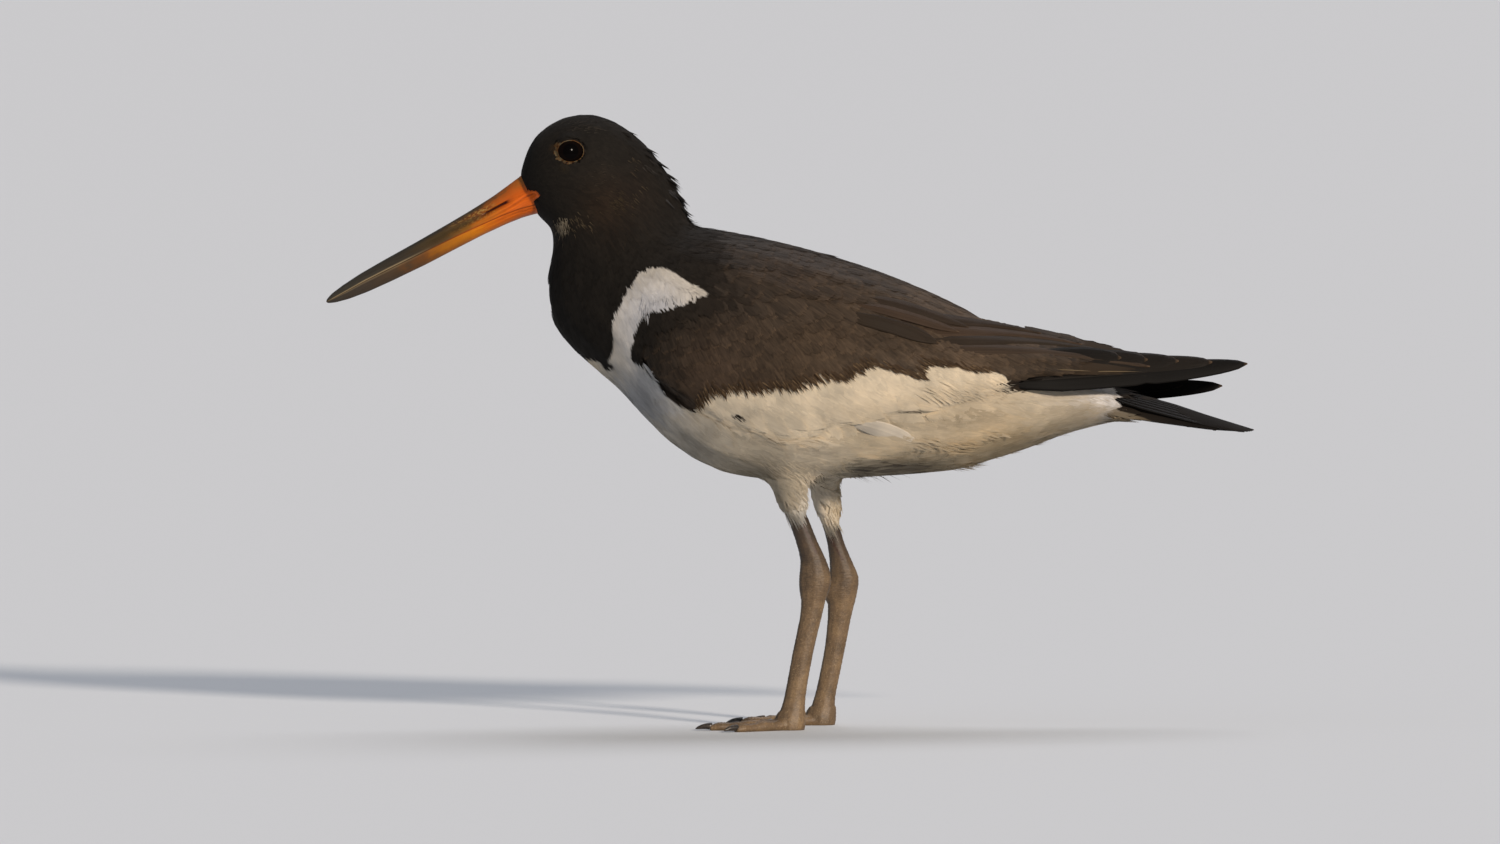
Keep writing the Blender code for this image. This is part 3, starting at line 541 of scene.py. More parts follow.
def laying_tree():
    """Sets a feather at each point: turned to its lie, laid down on the skin, raised towards its tip."""
    tree, given = new_tree("lay feathers", {"Points": "Geometry", "Skin": "Geometry", **PASSED})
    skin = given["Skin"]
    out, lie, root, root_uv, to_tip, upright = (
        add(tree, "InputNamedAttribute", name, data_type="FLOAT_VECTOR")
        for name in ("out", "lie", "root", "root_uv", "to_tip", "upward"))
    along, across, broad, length, stand, forced, white, depth = (
        add(tree, "InputNamedAttribute", name, data_type="FLOAT")
        for name in ("along", "across", "broad", "length", "stand", "forced", "white", "depth"))
    place = add(tree, "InputPosition")
    points = add(tree, "StoreNamedAttribute", given["Points"], None, "root", place, data_type="FLOAT_VECTOR")
    facing = add(tree, "AxesToRotation", out, lie, primary_axis="Z", secondary_axis="Y")
    least = add(tree, "Math MULTIPLY", given["Turn"], -1.0)
    turn = add(tree, "RandomValue", least, given["Turn"], None, 5, data_type="FLOAT")
    turn = add(tree, "EulerToRotation", add(tree, "CombineXYZ", stand, None, turn))
    facing = add(tree, "RotateRotation", facing, turn, rotation_space="LOCAL")
    pattern = add(tree, "ObjectInfo", given["Feather"], output="Geometry")
    points = add(tree, "StoreNamedAttribute", points, None, "facing", facing, data_type="QUATERNION")
    laid = add(tree, "InstanceOnPoints", {"Points": points, "Instance": pattern, "Rotation": facing,
                                          "Scale": add(tree, "CombineXYZ", broad, length, length)})
    laid = add(tree, "RealizeInstances", laid)
    # A barb is as dark or white as the markings under it.
    ahead = add(tree, "VectorMath MULTIPLY", to_tip, add(tree, "CombineXYZ", broad, length))
    ahead = add(tree, "RotateVector", ahead, add(tree, "InputNamedAttribute", "facing", data_type="QUATERNION"))
    ahead = add(tree, "VectorMath ADD", place, ahead)
    marked = add(tree, "SampleNearestSurface", {"Mesh": skin, "Value": white, "Sample Position": ahead})
    marked = add(tree, "Math ADD", marked, forced)
    laid = add(tree, "StoreNamedAttribute", laid, None, "white", marked)
    own = add(tree, "VectorMath DOT_PRODUCT", add(tree, "VectorMath SUBTRACT", place, root), out)
    flat = add(tree, "VectorMath SUBTRACT", place, add(tree, "VectorMath SCALE", out, own))
    # A free feather keeps its own line where the skin ends under it, and any other one is cut off there.
    # Over white ground the firm dark feathers leave off the barbs that would be white.
    ground, upward = (
        add(tree, "SampleNearestSurface", {"Mesh": skin, "Value": value, "Sample Position": flat},
            data_type="FLOAT_VECTOR") for value in (place, out))
    away = add(tree, "VectorMath DISTANCE", ground, flat, output="Value")
    away = add(tree, "Math SUBTRACT", add(tree, "Math SUBTRACT", away, given["Free"]), LEAVING)
    stray = add(tree, "Math MULTIPLY", marked, given["Dark only"])
    lost = add(tree, "Compare GREATER_THAN", add(tree, "Math MAXIMUM", away, stray), 0.0, data_type="FLOAT")
    ground = add(tree, "Mix", given["Free"], ground, flat, data_type="VECTOR")
    rise = add(tree, "MapRange", along, 0, 1, given["Root height"], given["Tip height"], clamp=False)
    rise = add(tree, "Math ADD", add(tree, "Math MULTIPLY", rise, depth), own)
    lifted = add(tree, "VectorMath ADD", ground, add(tree, "VectorMath SCALE", upward, rise))
    laid = add(tree, "StoreNamedAttribute", laid, None, "upward", upward, data_type="FLOAT_VECTOR")
    laid = add(tree, "StoreNamedAttribute", laid, None, "lost", lost, data_type="BOOLEAN")
    laid = add(tree, "SetPosition", laid, None, lifted)
    laid = add(tree, "DeleteGeometry", laid, add(tree, "InputNamedAttribute", "lost", data_type="BOOLEAN"))
    laid = add(tree, "SetShadeSmooth", laid)
    # Barbs scatter light as one soft surface, so each is shaded partly as the body under it, if it faces that way.
    plain = add(tree, "InputNormal")
    agrees = add(tree, "MapRange", add(tree, "VectorMath DOT_PRODUCT", plain, upright), 0.0, 0.5)
    blended = add(tree, "Mix", add(tree, "Math MULTIPLY", agrees, given["Softness"]), plain, upright,
                  data_type="VECTOR")
    laid = add(tree, "SetMeshNormal", {"Mesh": laid, "Custom Normal": blended}, mode="FREE", domain="POINT")
    patch = add(tree, "VectorMath SCALE", add(tree, "CombineXYZ", across, along), OFBAKE_PATCH / 2)
    patch = add(tree, "VectorMath ADD", patch, root_uv)
    laid = add(tree, "StoreNamedAttribute", laid, None, "OFBake", patch, data_type="FLOAT2", domain="CORNER")
    for spent in ("root", "root_uv", "out", "lie", "length", "broad", "depth", "stand", "upward", "forced",
                  "facing", "to_tip", "lost"):
        laid = add(tree, "RemoveAttribute", {"Geometry": laid, "Name": spent})
    laid = add(tree, "RemoveAttribute", {"Geometry": laid, "Name": "on_*"}, pattern_mode="WILDCARD")
    add(tree, "GroupOutput", add(tree, "SetMaterial", laid, None, given["Material"]))
    return tree


def scattering_tree():
    """Scatters roots over one tract of the skin, evenly apart, and lays a feather on each."""
    tree, given = new_tree("scattered coat", {
        "Geometry": "Geometry", "Tract": "String", "Spacing": "Float", "Length": "Float", "Breadth": "Float",
        "Uneven": "Float", "Stand": "Float", "Seed": "Int", **PASSED})
    tract, length = (add(tree, "InputNamedAttribute", name, data_type="FLOAT")
                     for name in (given["Tract"], "length"))
    density = add(tree, "Math MULTIPLY", add(tree, "Math POWER", given["Spacing"], -2.0), TRIAL_DENSITY)
    points = add(tree, "DistributePointsOnFaces", {
        "Mesh": given["Geometry"], "Distance Min": given["Spacing"], "Density Max": density,
        "Density Factor": tract, "Seed": given["Seed"]}, distribute_method="POISSON")
    unwrap = add(tree, "InputNamedAttribute", "OFBake", data_type="FLOAT_VECTOR")
    points = add(tree, "StoreNamedAttribute", points, None, "root_uv", unwrap, data_type="FLOAT_VECTOR")
    low, high = (add(tree, "Math " + operation, 1.0, given["Uneven"]) for operation in ("SUBTRACT", "ADD"))
    ratio = add(tree, "RandomValue", low, high, None, 1, data_type="FLOAT")
    for name, value in (
            ("length", add(tree, "Math MULTIPLY", add(tree, "Math MULTIPLY", length, given["Length"]), ratio)),
            ("broad", add(tree, "Math MULTIPLY", length, given["Breadth"])),
            ("tint", add(tree, "RandomValue", None, None, None, 2, data_type="FLOAT")),
            ("stand", add(tree, "RandomValue", None, given["Stand"], None, 3, data_type="FLOAT"))):
        points = add(tree, "StoreNamedAttribute", points, None, name, value)
    passed = {name: given[name] for name in PASSED}
    laid = add(tree, "Group", {"Points": points, "Skin": given["Geometry"], **passed}, node_tree=LAYING)
    add(tree, "GroupOutput", laid)
    return tree


def grown(name, mesh, tree, inputs):
    """Runs a geometry tree on a mesh and gives the result as a plain mesh object."""
    made = shown(name, mesh)
    modifier = made.modifiers.new("feathers", "NODES")
    modifier.node_group = tree
    sockets = {item.name: item.identifier for item in tree.interface.items_tree if item.in_out == "INPUT"}
    for label, value in inputs.items():
        modifier[sockets[label]] = value
    return modified(made)


LAYING = laying_tree()
SCATTERING = scattering_tree()
LEAF = (.10, .34, .47, .50, .46, .36, .2)
SPEAR = (.10, .40, .50, .44, .34, .22, .1)
BROAD = (.12, .36, .48, .50, .49, .46, .36)
FACE_FAN = barb_fan("face fan", 4, 2, LEAF, 1.5, .3, .12, .02, 10)
FINE_FAN = barb_fan("fine fan", 6, 3, SPEAR, 1.45, .3, .14, .02, 11)
SOFT_FAN = barb_fan("soft fan", 9, 3, LEAF, 1.45, .28, .12, .03, 12)
LONG_FAN = barb_fan("long fan", 11, 3, SPEAR, 2.1, .42, .09, .015, 14)
FIRM_FAN = barb_fan("firm fan", 9, 5, BROAD, 1.9, .2, .06, .03, 13, 0.0, 0.05, 0.85)
# Each tract: feather, spacing in mm, length and breadth against the skin's own length, unevenness, stand and turn
# in radians, heights of root and tip against the coat's depth, softness, seed, material and slot.
TRACTS = {
    "face": (FACE_FAN, .62, 1.35, .74, .2, .0, .10, .8, 1.0, 1.0, 20, SOFT_PLUMAGE, "black_plumage"),
    "head": (FINE_FAN, .95, 1.25, .46, .25, .01, .14, .72, 1.0, .92, 21, SOFT_PLUMAGE, "black_plumage"),
    "neck": (SOFT_FAN, 1.35, 1.2, .40, .25, .01, .12, .78, 1.0, .95, 22, SOFT_PLUMAGE, "black_plumage"),
    "breast": (LONG_FAN, 1.6, 1.25, .38, .3, .0, .08, .8, 1.0, .97, 23, SOFT_PLUMAGE, "white_plumage"),
    "belly": (LONG_FAN, 1.6, 1.25, .38, .3, .0, .08, .8, 1.0, .97, 27, SOFT_PLUMAGE, "white_plumage"),
    "back": (FIRM_FAN, 3.0, 1.15, .60, .15, .0, .10, .6, .95, .6, 24, VANE_PLUMAGE, "brown_plumage"),
    "wing": (FIRM_FAN, 3.2, 1.1, .60, .15, .0, .10, .45, .66, .9, 25, VANE_PLUMAGE, "brown_plumage"),
    "bar": (SOFT_FAN, 1.9, 1.0, .5, .25, .0, .08, .46, .6, 1.0, 28, SOFT_PLUMAGE, "white_plumage"),
    "thigh": (LONG_FAN, .95, .95, .25, .25, .0, .05, .9, 1.0, 1.0, 26, SOFT_PLUMAGE, "white_plumage")}
SET = ("Feather", "Spacing", "Length", "Breadth", "Uneven", "Stand", "Turn", "Root height", "Tip height",
       "Softness", "Seed", "Material")
for tract, (feather, spacing, *rest, slot) in TRACTS.items():
    coat = grown("coat_" + tract, skin.data, SCATTERING, dict(
        zip(SET, (feather, spacing * MM, *rest)), Tract="on_" + tract, **{"Dark only": float(tract == "wing")}))
    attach(coat, "root")


# ------------------------------------------------------------
# The wing coverts and the shorter scapulars: firm feathers that grow in rows along each folded wing, each row over
# the roots of the next. Their tips are worn pale brown, most of all where the dark wing meets the white bar.
# Each row: root line as x and z in mm, count, length and breadth in mm, how steeply the feathers drop at its first
# and last feather in degrees, and how much of the coat's depth the tips rise to.
COVERT_ROWS = [
    ([(-44, 138), (-22, 141), (2, 144.5), (27, 146.6), (46, 146.7), (66, 143.5)], 31, 12, 6.6, 54, 22, .74),
    ([(-46, 141), (-24, 143.8), (2, 147), (28, 149), (48, 148.5), (70, 145)], 27, 12.5, 7.2, 58, 26, .78),
    ([(-58, 144), (-34, 147.5), (4, 149.5), (44, 150), (70, 148)], 21, 14.5, 7.4, 66, 30, .80),
    ([(-60, 150.5), (-34, 154), (4, 156), (42, 155.5), (62, 152)], 21, 13, 7.2, 66, 36, .85),
    ([(-60, 157), (-34, 160.5), (4, 162.5), (38, 160)], 17, 12, 7.0, 66, 42, .9),
    ([(-57, 163), (-34, 166.5), (4, 168.5), (30, 165)], 15, 11, 6.6, 64, 46, .95),
    ([(-40, 172), (-20, 171), (6, 168.5), (30, 164)], 13, 17, 8.4, 50, 34, 1.1),
    ([(-42, 177.5), (-20, 177), (6, 174.5), (34, 168)], 13, 17, 8.6, 44, 30, 1.2),
    ([(-42, 184), (-20, 184), (6, 181), (34, 174)], 12, 17, 9.0, 40, 28, 1.25),
    ([(-38, 190), (-18, 189.5), (8, 186), (30, 180)], 11, 16, 9.0, 34, 26, 1.3)]
# The soft white feathers of the bar, in the same terms.
BAR_ROWS = [
    ([(-37, 133), (-12, 137), (14, 142), (38, 143), (64, 143), (80, 139)], 25, 14, 9, 58, 26, .72),
    ([(-38, 123.5), (-22, 119.5), (-6, 116.5), (12, 120.5), (36, 123), (66, 128)], 17, 15, 10, 48, 20, 1.0),
    ([(-34, 126), (-14, 125.5), (18, 128), (60, 131)], 13, 16, 9.5, 40, 14, .95),
    ([(40, 128), (70, 133), (92, 131)], 9, 15, 7.5, 16, 10, 1.0)]
ROW_JITTER = 0.7 * MM
SIDES = {"left": -1, "right": 1}
# Below this the thighs stand apart, and feathers are set on their inner faces too.
LEGS_PART = 92 * MM
# How far beside the bird a ray starts, in metres.
RAY_START = 0.3


def read_back(items, field, parts):
    """One field of each item, as rows of this many parts."""
    values = np.empty(len(items) * parts)
    items.foreach_get(field, values)
    return values.reshape(-1, parts)


SKIN_PLACES = read_vectors(skin.data)
SKIN_FACES = [tuple(face.vertices) for face in skin.data.polygons]
SKIN_TREE = BVHTree.FromPolygons([tuple(place) for place in SKIN_PLACES], SKIN_FACES)
SKIN_VALUES = {name: read_back(skin.data.attributes[name].data, field, parts) for name, field, parts in (
    ("out", "vector", 3), ("depth", "value", 1), ("dark", "color", 4), ("pale", "color", 4))}
# Where each vertex lies on the skin's unwrap.
SKIN_UNWRAP = np.zeros((len(SKIN_PLACES), 3))
SKIN_CORNERS = read_back(skin.data.loops, "vertex_index", 1).astype(int)[:, 0]
SKIN_UNWRAP[SKIN_CORNERS, :2] = read_back(skin.data.uv_layers["OFBake"].data, "uv", 2)


def on_skin(x, z, side, between=False):
    """The vertex of the skin that is seen at (x, z) from one side, or from between the legs. None beyond it."""
    start = Vector((x, 0 if between else RAY_START * side, z))
    hit, _, face, _ = SKIN_TREE.ray_cast(start, Vector((0, side if between else -side, 0)))
    if face is None:
        return None
    around = SKIN_FACES[face]
    return around[int(np.argmin(np.linalg.norm(SKIN_PLACES[list(around)] - np.array(hit), axis=1)))]


def along_line(line, count):
    """Evenly spaced places along a bent line, and their share of its length."""
    line = np.array(line, float)
    reach = np.concatenate([[0], np.cumsum(np.linalg.norm(np.diff(line, axis=0), axis=1))])
    shares = (np.arange(count) + 0.5) / count
    return np.stack([np.interp(shares * reach[-1], reach, line[:, axis]) for axis in (0, 1)], axis=1), shares


def rooted(roots, side, feather, material, softness=1.0, forced=0.0, shade=None, free=0.0, dark_only=0.0):
    """Lays a feather at each root. A root: x, z, length, breadth, drop in degrees, height share, stand, fringe.
    Forced above zero makes them all white, and below zero all dark, of the shade if there is one. The pieces are
    named pale and numbered in the order they are laid."""
    vertices, rows = [], []
    for order, root in enumerate(roots):
        vertex = on_skin(root[0], root[1], side, between=root[1] < LEGS_PART and order % 2 == 1)
        if vertex is not None:
            vertices.append(vertex)
            rows.append(root)
    rows = np.array(rows).reshape(-1, 8)
    outward = SKIN_VALUES["out"][vertices]
    drop = np.radians(rows[:, 4])
    lie = np.stack([np.cos(drop), 0 * drop, -np.sin(drop)], axis=1)
    mesh = bpy.data.meshes.new("pale")
    mesh.from_pydata([tuple(place) for place in SKIN_PLACES[vertices]], [], [])
    draw = np.random.default_rng(len(rows) + (side > 0))
    store(mesh, out=outward, lie=unit(lie - outward * (lie * outward).sum(1, keepdims=True)),
          root_uv=SKIN_UNWRAP[vertices], length=rows[:, 2], broad=rows[:, 3], stand=rows[:, 6], fringe=rows[:, 7],
          depth=SKIN_VALUES["depth"][vertices][:, 0] * rows[:, 5], forced=np.full(len(rows), forced),
          tint=draw.uniform(0, 1, len(rows)),
          **{name: SKIN_VALUES[name][vertices] if shade is None else np.tile(linear(shade), (len(rows), 1))
             for name in ("dark", "pale")})
    return grown("pale", mesh, ROWS, {
        "Skin": skin, "Feather": feather, "Turn": 0.06, "Root height": 0.3, "Tip height": 1.0,
        "Softness": softness, "Free": free, "Dark only": dark_only, "Material": material})


# This tree lays a feather on each given point.
ROWS, given = new_tree("rows of feathers", {"Geometry": "Geometry", "Skin": "Object", **PASSED})
ground = add(ROWS, "ObjectInfo", given["Skin"], output="Geometry")
laid = add(ROWS, "Group", {"Points": given["Geometry"], "Skin": ground, **{name: given[name] for name in PASSED}},
           node_tree=LAYING)
add(ROWS, "GroupOutput", laid)
COVERT = barb_fan("covert", 11, 7, BROAD, 1.8, .25, .08, .05, 31, 0.0, 0.05, 0.88)
BAR_COVERT = barb_fan("white covert", 13, 6, LEAF, 2.6, .4, .05, .02, 33, 0.5)
for side_name, side in SIDES.items():
    draw = np.random.default_rng(41)
    for rows, slot, feather, material, softness in (
            (COVERT_ROWS, "brown_plumage", COVERT, VANE_PLUMAGE, 0.75),
            (BAR_ROWS, "white_plumage", BAR_COVERT, SOFT_PLUMAGE, 1.0)):
        roots = []
        for line, count, length, breadth, first_drop, last_drop, height in rows:
            for (x, z), share in zip(*along_line(line, count)):
                shift = draw.normal(0, ROW_JITTER, 2)
                roots.append((x * MM + shift[0], z * MM + shift[1], length * MM * draw.uniform(.9, 1.1),
                              breadth * MM * draw.uniform(.92, 1.08),
                              first_drop + (last_drop - first_drop) * share + draw.normal(0, 3), height, 0,
                              1.3 * draw.uniform() ** 2))
        coverts = rooted(roots, side, feather, material, softness, dark_only=float(rows is COVERT_ROWS))
        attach(coverts, "root")


# ------------------------------------------------------------
# The loose feathers: narrow wisps that part from the coat. They fray the nape, hang over the edge of the white
# shoulder, streak the cheek and throat, and end the thighs, the flank and the belly in points.
# Each tuft: x and z of its middle, its spread in x and z, count, length and breadth in mm, drop and its spread in
# degrees, how far it stands out in radians, and its shade: a hex colour, or white or dark as the coat under it.
# The hanging ones leave the body and keep their own line.
LYING = [
    (-66, 233, 2.5, 1, 8, 6, 1.5, 32, 8, .2, "dark"), (-58, 227.2, 2, 1.2, 12, 8, 1.9, 42, 8, .24, "dark"),
    (-53, 221.5, 1.6, 1.6, 14, 8.5, 2.0, 50, 8, .28, "dark"),
    (-49.5, 216, 1.4, 1.6, 14, 9, 2.0, 56, 7, .28, "dark"),
    (-46.5, 210.5, 1.2, 1.8, 14, 9, 2.0, 60, 7, .28, "dark"),
    (-44, 205, 1.2, 1.8, 14, 9, 2.0, 62, 7, .26, "dark"), (-42, 200, 1.2, 1.8, 12, 8, 1.9, 62, 7, .26, "dark"),
    (-40, 196.5, 1.6, 1.2, 8, 7, 1.6, 56, 8, .24, "dark"), (-50, 212, 2.5, 4, 10, 9, .9, 58, 8, .1, "#3C3A3A"),
    (-58, 222, 3, 4, 8, 8, .8, 48, 8, .08, "#34302C"),
    (-90.6, 198.0, 2.0, 2.6, 110, 4.5, .42, 68, 9, .05, "#A0937D"),
    (-91, 198, 2.6, 3, 60, 5, .6, 66, 8, .03, "#5E5444"),
    (-85, 199.6, 4.5, 2.2, 40, 5, .35, 52, 12, .05, "#5A4E3C"),
    (-91, 192.5, 1.2, 2, 16, 5, .3, 76, 8, .05, "#5E5444"), (-71, 207, 5, 4, 60, 6, .3, 34, 9, .04, "#433828"),
    (-77, 217, 5, 3, 22, 5, .3, 12, 9, .04, "#3B342A"), (-64, 222, 3, 3, 12, 5, .3, 40, 9, .04, "#4A4032"),
    # The pale strands on the crown at x -85 are painted highlight, light caught along the crown feathers.
    (-85, 234.6, 8, 2.2, 50, 6, .4, 2, 9, .05, "#3D3730"), (-62, 214, 3, 6, 8, 6, .5, 56, 12, .08, "#453B2C"),
    (-51, 171, 5, 1.6, 40, 6.5, .45, 70, 14, .1, "white"),
    (-58.5, 168, 1.6, 2.6, 24, 7.5, .4, 88, 12, .12, "white"),
    (-43, 172.6, 3, 1.2, 30, 6, .5, 28, 14, .08, "white"), (-47, 174, 6, 3, 20, 7, .5, 50, 12, .04, "white"),
    (62, 134.5, 12, 2.5, 90, 12, .8, 30, 8, .02, "white"), (73, 135, 3, 2.4, 70, 12, .7, 24, 8, .04, "white"),
    (-56.5, 134.5, 1.4, 2, 24, 9, .7, 52, 6, .01, "white"),
    (-50.5, 128, 2, 1.4, 24, 10, .7, 40, 6, .01, "white"), (44, 113.5, 5, 2.5, 22, 13, 1.5, 18, 9, .1, "white"),
    (57, 111.5, 6, 2.5, 22, 13, 1.5, 16, 9, .1, "white"), (70, 115, 5, 2, 14, 12, 1.4, 12, 9, .1, "white"),
    (2, 90, 3, 3, 80, 12, .7, 74, 5, .0, "white"), (3, 87, 2.2, 1.8, 60, 11, .7, 76, 5, .01, "white"),
    (18, 90, 3, 4, 70, 11, .7, 82, 5, .0, "white"), (17, 83, 2.4, 1.8, 60, 10, .7, 80, 5, .01, "white"),
    (-6, 99, 6, 4, 30, 12, .7, 64, 8, .0, "white"), (7, 101, 3, 1.5, 10, 7, .5, 70, 10, .1, "#8A7C68"),
    (-14, 108, 12, 5, 90, 17, .8, 52, 6, .0, "white"), (0, 103, 7, 4, 90, 17, .8, 66, 6, .0, "white"),
    (10, 106, 6, 4, 40, 14, .8, 60, 8, .02, "white"), (20, 102, 8, 3, 30, 14, .8, 78, 8, .0, "white")]
HANGING = [
    (-3, 89.5, 1.2, 1.8, 50, 11, .8, 60, 5, .02, "white"), (1, 89, 2.2, 1.8, 70, 12, .8, 68, 4, .02, "white"),
    (4.4, 89, 1.0, 1.8, 50, 11, .8, 82, 4, .02, "white"), (8, 99.5, 3, 1.2, 40, 7, .7, 66, 12, .25, "white"),
    (8.5, 98.5, 2, 1, 10, 7.5, .5, 60, 12, .3, "#6E604C"), (13, 84.5, 1.2, 2, 40, 11, .8, 66, 5, .03, "white"),
    (17, 83, 2, 2, 50, 11, .8, 80, 5, .03, "white"), (20.4, 84.5, 1, 2, 40, 11, .8, 96, 5, .03, "white"),
    (64, 103.5, 4, 1.5, 60, 11, .7, 26, 9, .12, "white"), (76, 107.5, 4, 1.5, 60, 11, .7, 24, 9, .12, "white"),
    (88, 111.5, 4, 1.2, 50, 10, .7, 18, 9, .1, "white"), (100, 115.5, 4, 1, 40, 8, .6, 10, 9, .1, "white"),
    (28, 100.2, 8, .8, 30, 9, .35, 22, 12, .4, "#6D6455"),
    (60, 103.5, 12, .8, 26, 8, .35, 8, 12, .25, "#8C7D66"),
    (95, 114.5, 12, .8, 22, 8, .4, -8, 10, .2, "#A89A84")]
# The worn brown tips of the lowest coverts, along the edge of the bar: shade, count, length and breadth in mm.
WORN_TIPS = [("#6E5A42", 230, 5.5, .45), ("#4A3A2A", 190, 7.5, .9), ("#84705A", 60, 4.5, .35)]
WING_EDGE = WHITE[28:44]
WISP = barb_fan("wisp", 3, 4, (.30, .5, .46, .38, .28, .16), 1.6, .12, .2, .0, 32, curl=.04)
for side_name, side in SIDES.items():
    draw = np.random.default_rng(36)
    by_shade = {}
    for free, tufts in ((0.0, LYING), (1.0, HANGING)):
        for x, z, spread_x, spread_z, count, length, breadth, drop, drop_spread, stand, shade in tufts:
            for _ in range(count):
                spot = draw.normal(0, 0.6, 2) * (spread_x, spread_z)
                by_shade.setdefault((shade, free), []).append((
                    (x + spot[0]) * MM, (z + spot[1]) * MM, length * MM * draw.uniform(.75, 1.15),
                    breadth * MM * draw.uniform(.7, 1.2), drop + draw.normal(0, 0.6) * drop_spread, 1.1,
                    stand * draw.uniform(.2, 1.2), .3))
    for shade, count, length, breadth in WORN_TIPS:
        for (x, z), share in zip(*along_line(WING_EDGE, count)):
            drop = 60 - 34 * share + draw.normal(0, 7)
            back = length * draw.uniform(.35, .95)
            by_shade.setdefault((shade, 0.0), []).append((
                (x - back * math.cos(math.radians(drop))) * MM, (z + back * math.sin(math.radians(drop))) * MM,
                length * MM, breadth * MM * draw.uniform(.7, 1.3), drop, .95, .04, .3))
    for (shade, free), roots in by_shade.items():
        wisps = rooted(roots, side, WISP, SOFT_PLUMAGE, free=free, forced=99.0 if shade == "white" else -99.0,
                       shade=shade if shade[0] == "#" else None)
        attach(wisps, "root")


# ------------------------------------------------------------
# The long scapulars and tertials: the broad brown feathers over the back of each folded wing. Each is a closed
# cambered vane on a shaft, with a few barbs parted along its edge, and lies over the next one below it.
# Each: root, bend and tip as x and z in mm, and the breadth in mm, from the lowest in the stack to the uppermost.
TERTIALS = [
    ((16, 149), (86, 153.6), (139.6, 142), 12.5), ((14, 152.5), (82, 156.2), (124, 147), 14),
    ((14, 157), (74, 159.2), (113, 149.8), 14), ((14, 162), (66, 162.4), (97, 153.8), 13),
    ((6, 165), (34, 162), (56, 151.5), 8.5), ((10, 170), (38, 166), (64, 155.5), 9),
    ((14, 173), (42, 168), (68, 157), 8.5)]
TERTIAL_BROWNS = ("#30261D", "#271F17", "#35291F")
# The frayed pale edge of the lowest one on the left wing, as two strips.
WORN_EDGE = [((92, 142.2), (104, 140.4), (116, 139.9)), ((110, 140.6), (124, 139.6), (136, 139.4))]
WING_JOINT = np.array((-50, 150))
RIGHT_WING_DROP = math.radians(1.0)
STACK = 0.28 * MM
ROOT_DEPTH = 2.4 * MM
WORN_REACH = 8
FORM_CELL, FORM_SMOOTHING = 1.1 * MM, 10


def drooped(place, side, drop):
    """A place of the left wing, or the same place on the right one, which hangs a little lower."""
    place = np.array(place, float)
    turn = np.array([[math.cos(drop), math.sin(drop)], [-math.sin(drop), math.cos(drop)]])
    return place if side < 0 else WING_JOINT + turn @ (place - WING_JOINT)


def bent(root, bend, tip, steps):
    """Places along a smooth curve from root to tip, bent towards the middle place, and the way across it."""
    share = np.linspace(0, 1, steps)[:, None]
    root, bend, tip = (np.array(place, float) for place in (root, bend, tip))
    path = (1 - share) ** 2 * root + 2 * share * (1 - share) * bend + share ** 2 * tip
    way = unit(np.gradient(path, axis=0))
    return path, np.stack([-way[:, 1], way[:, 0]], axis=1)


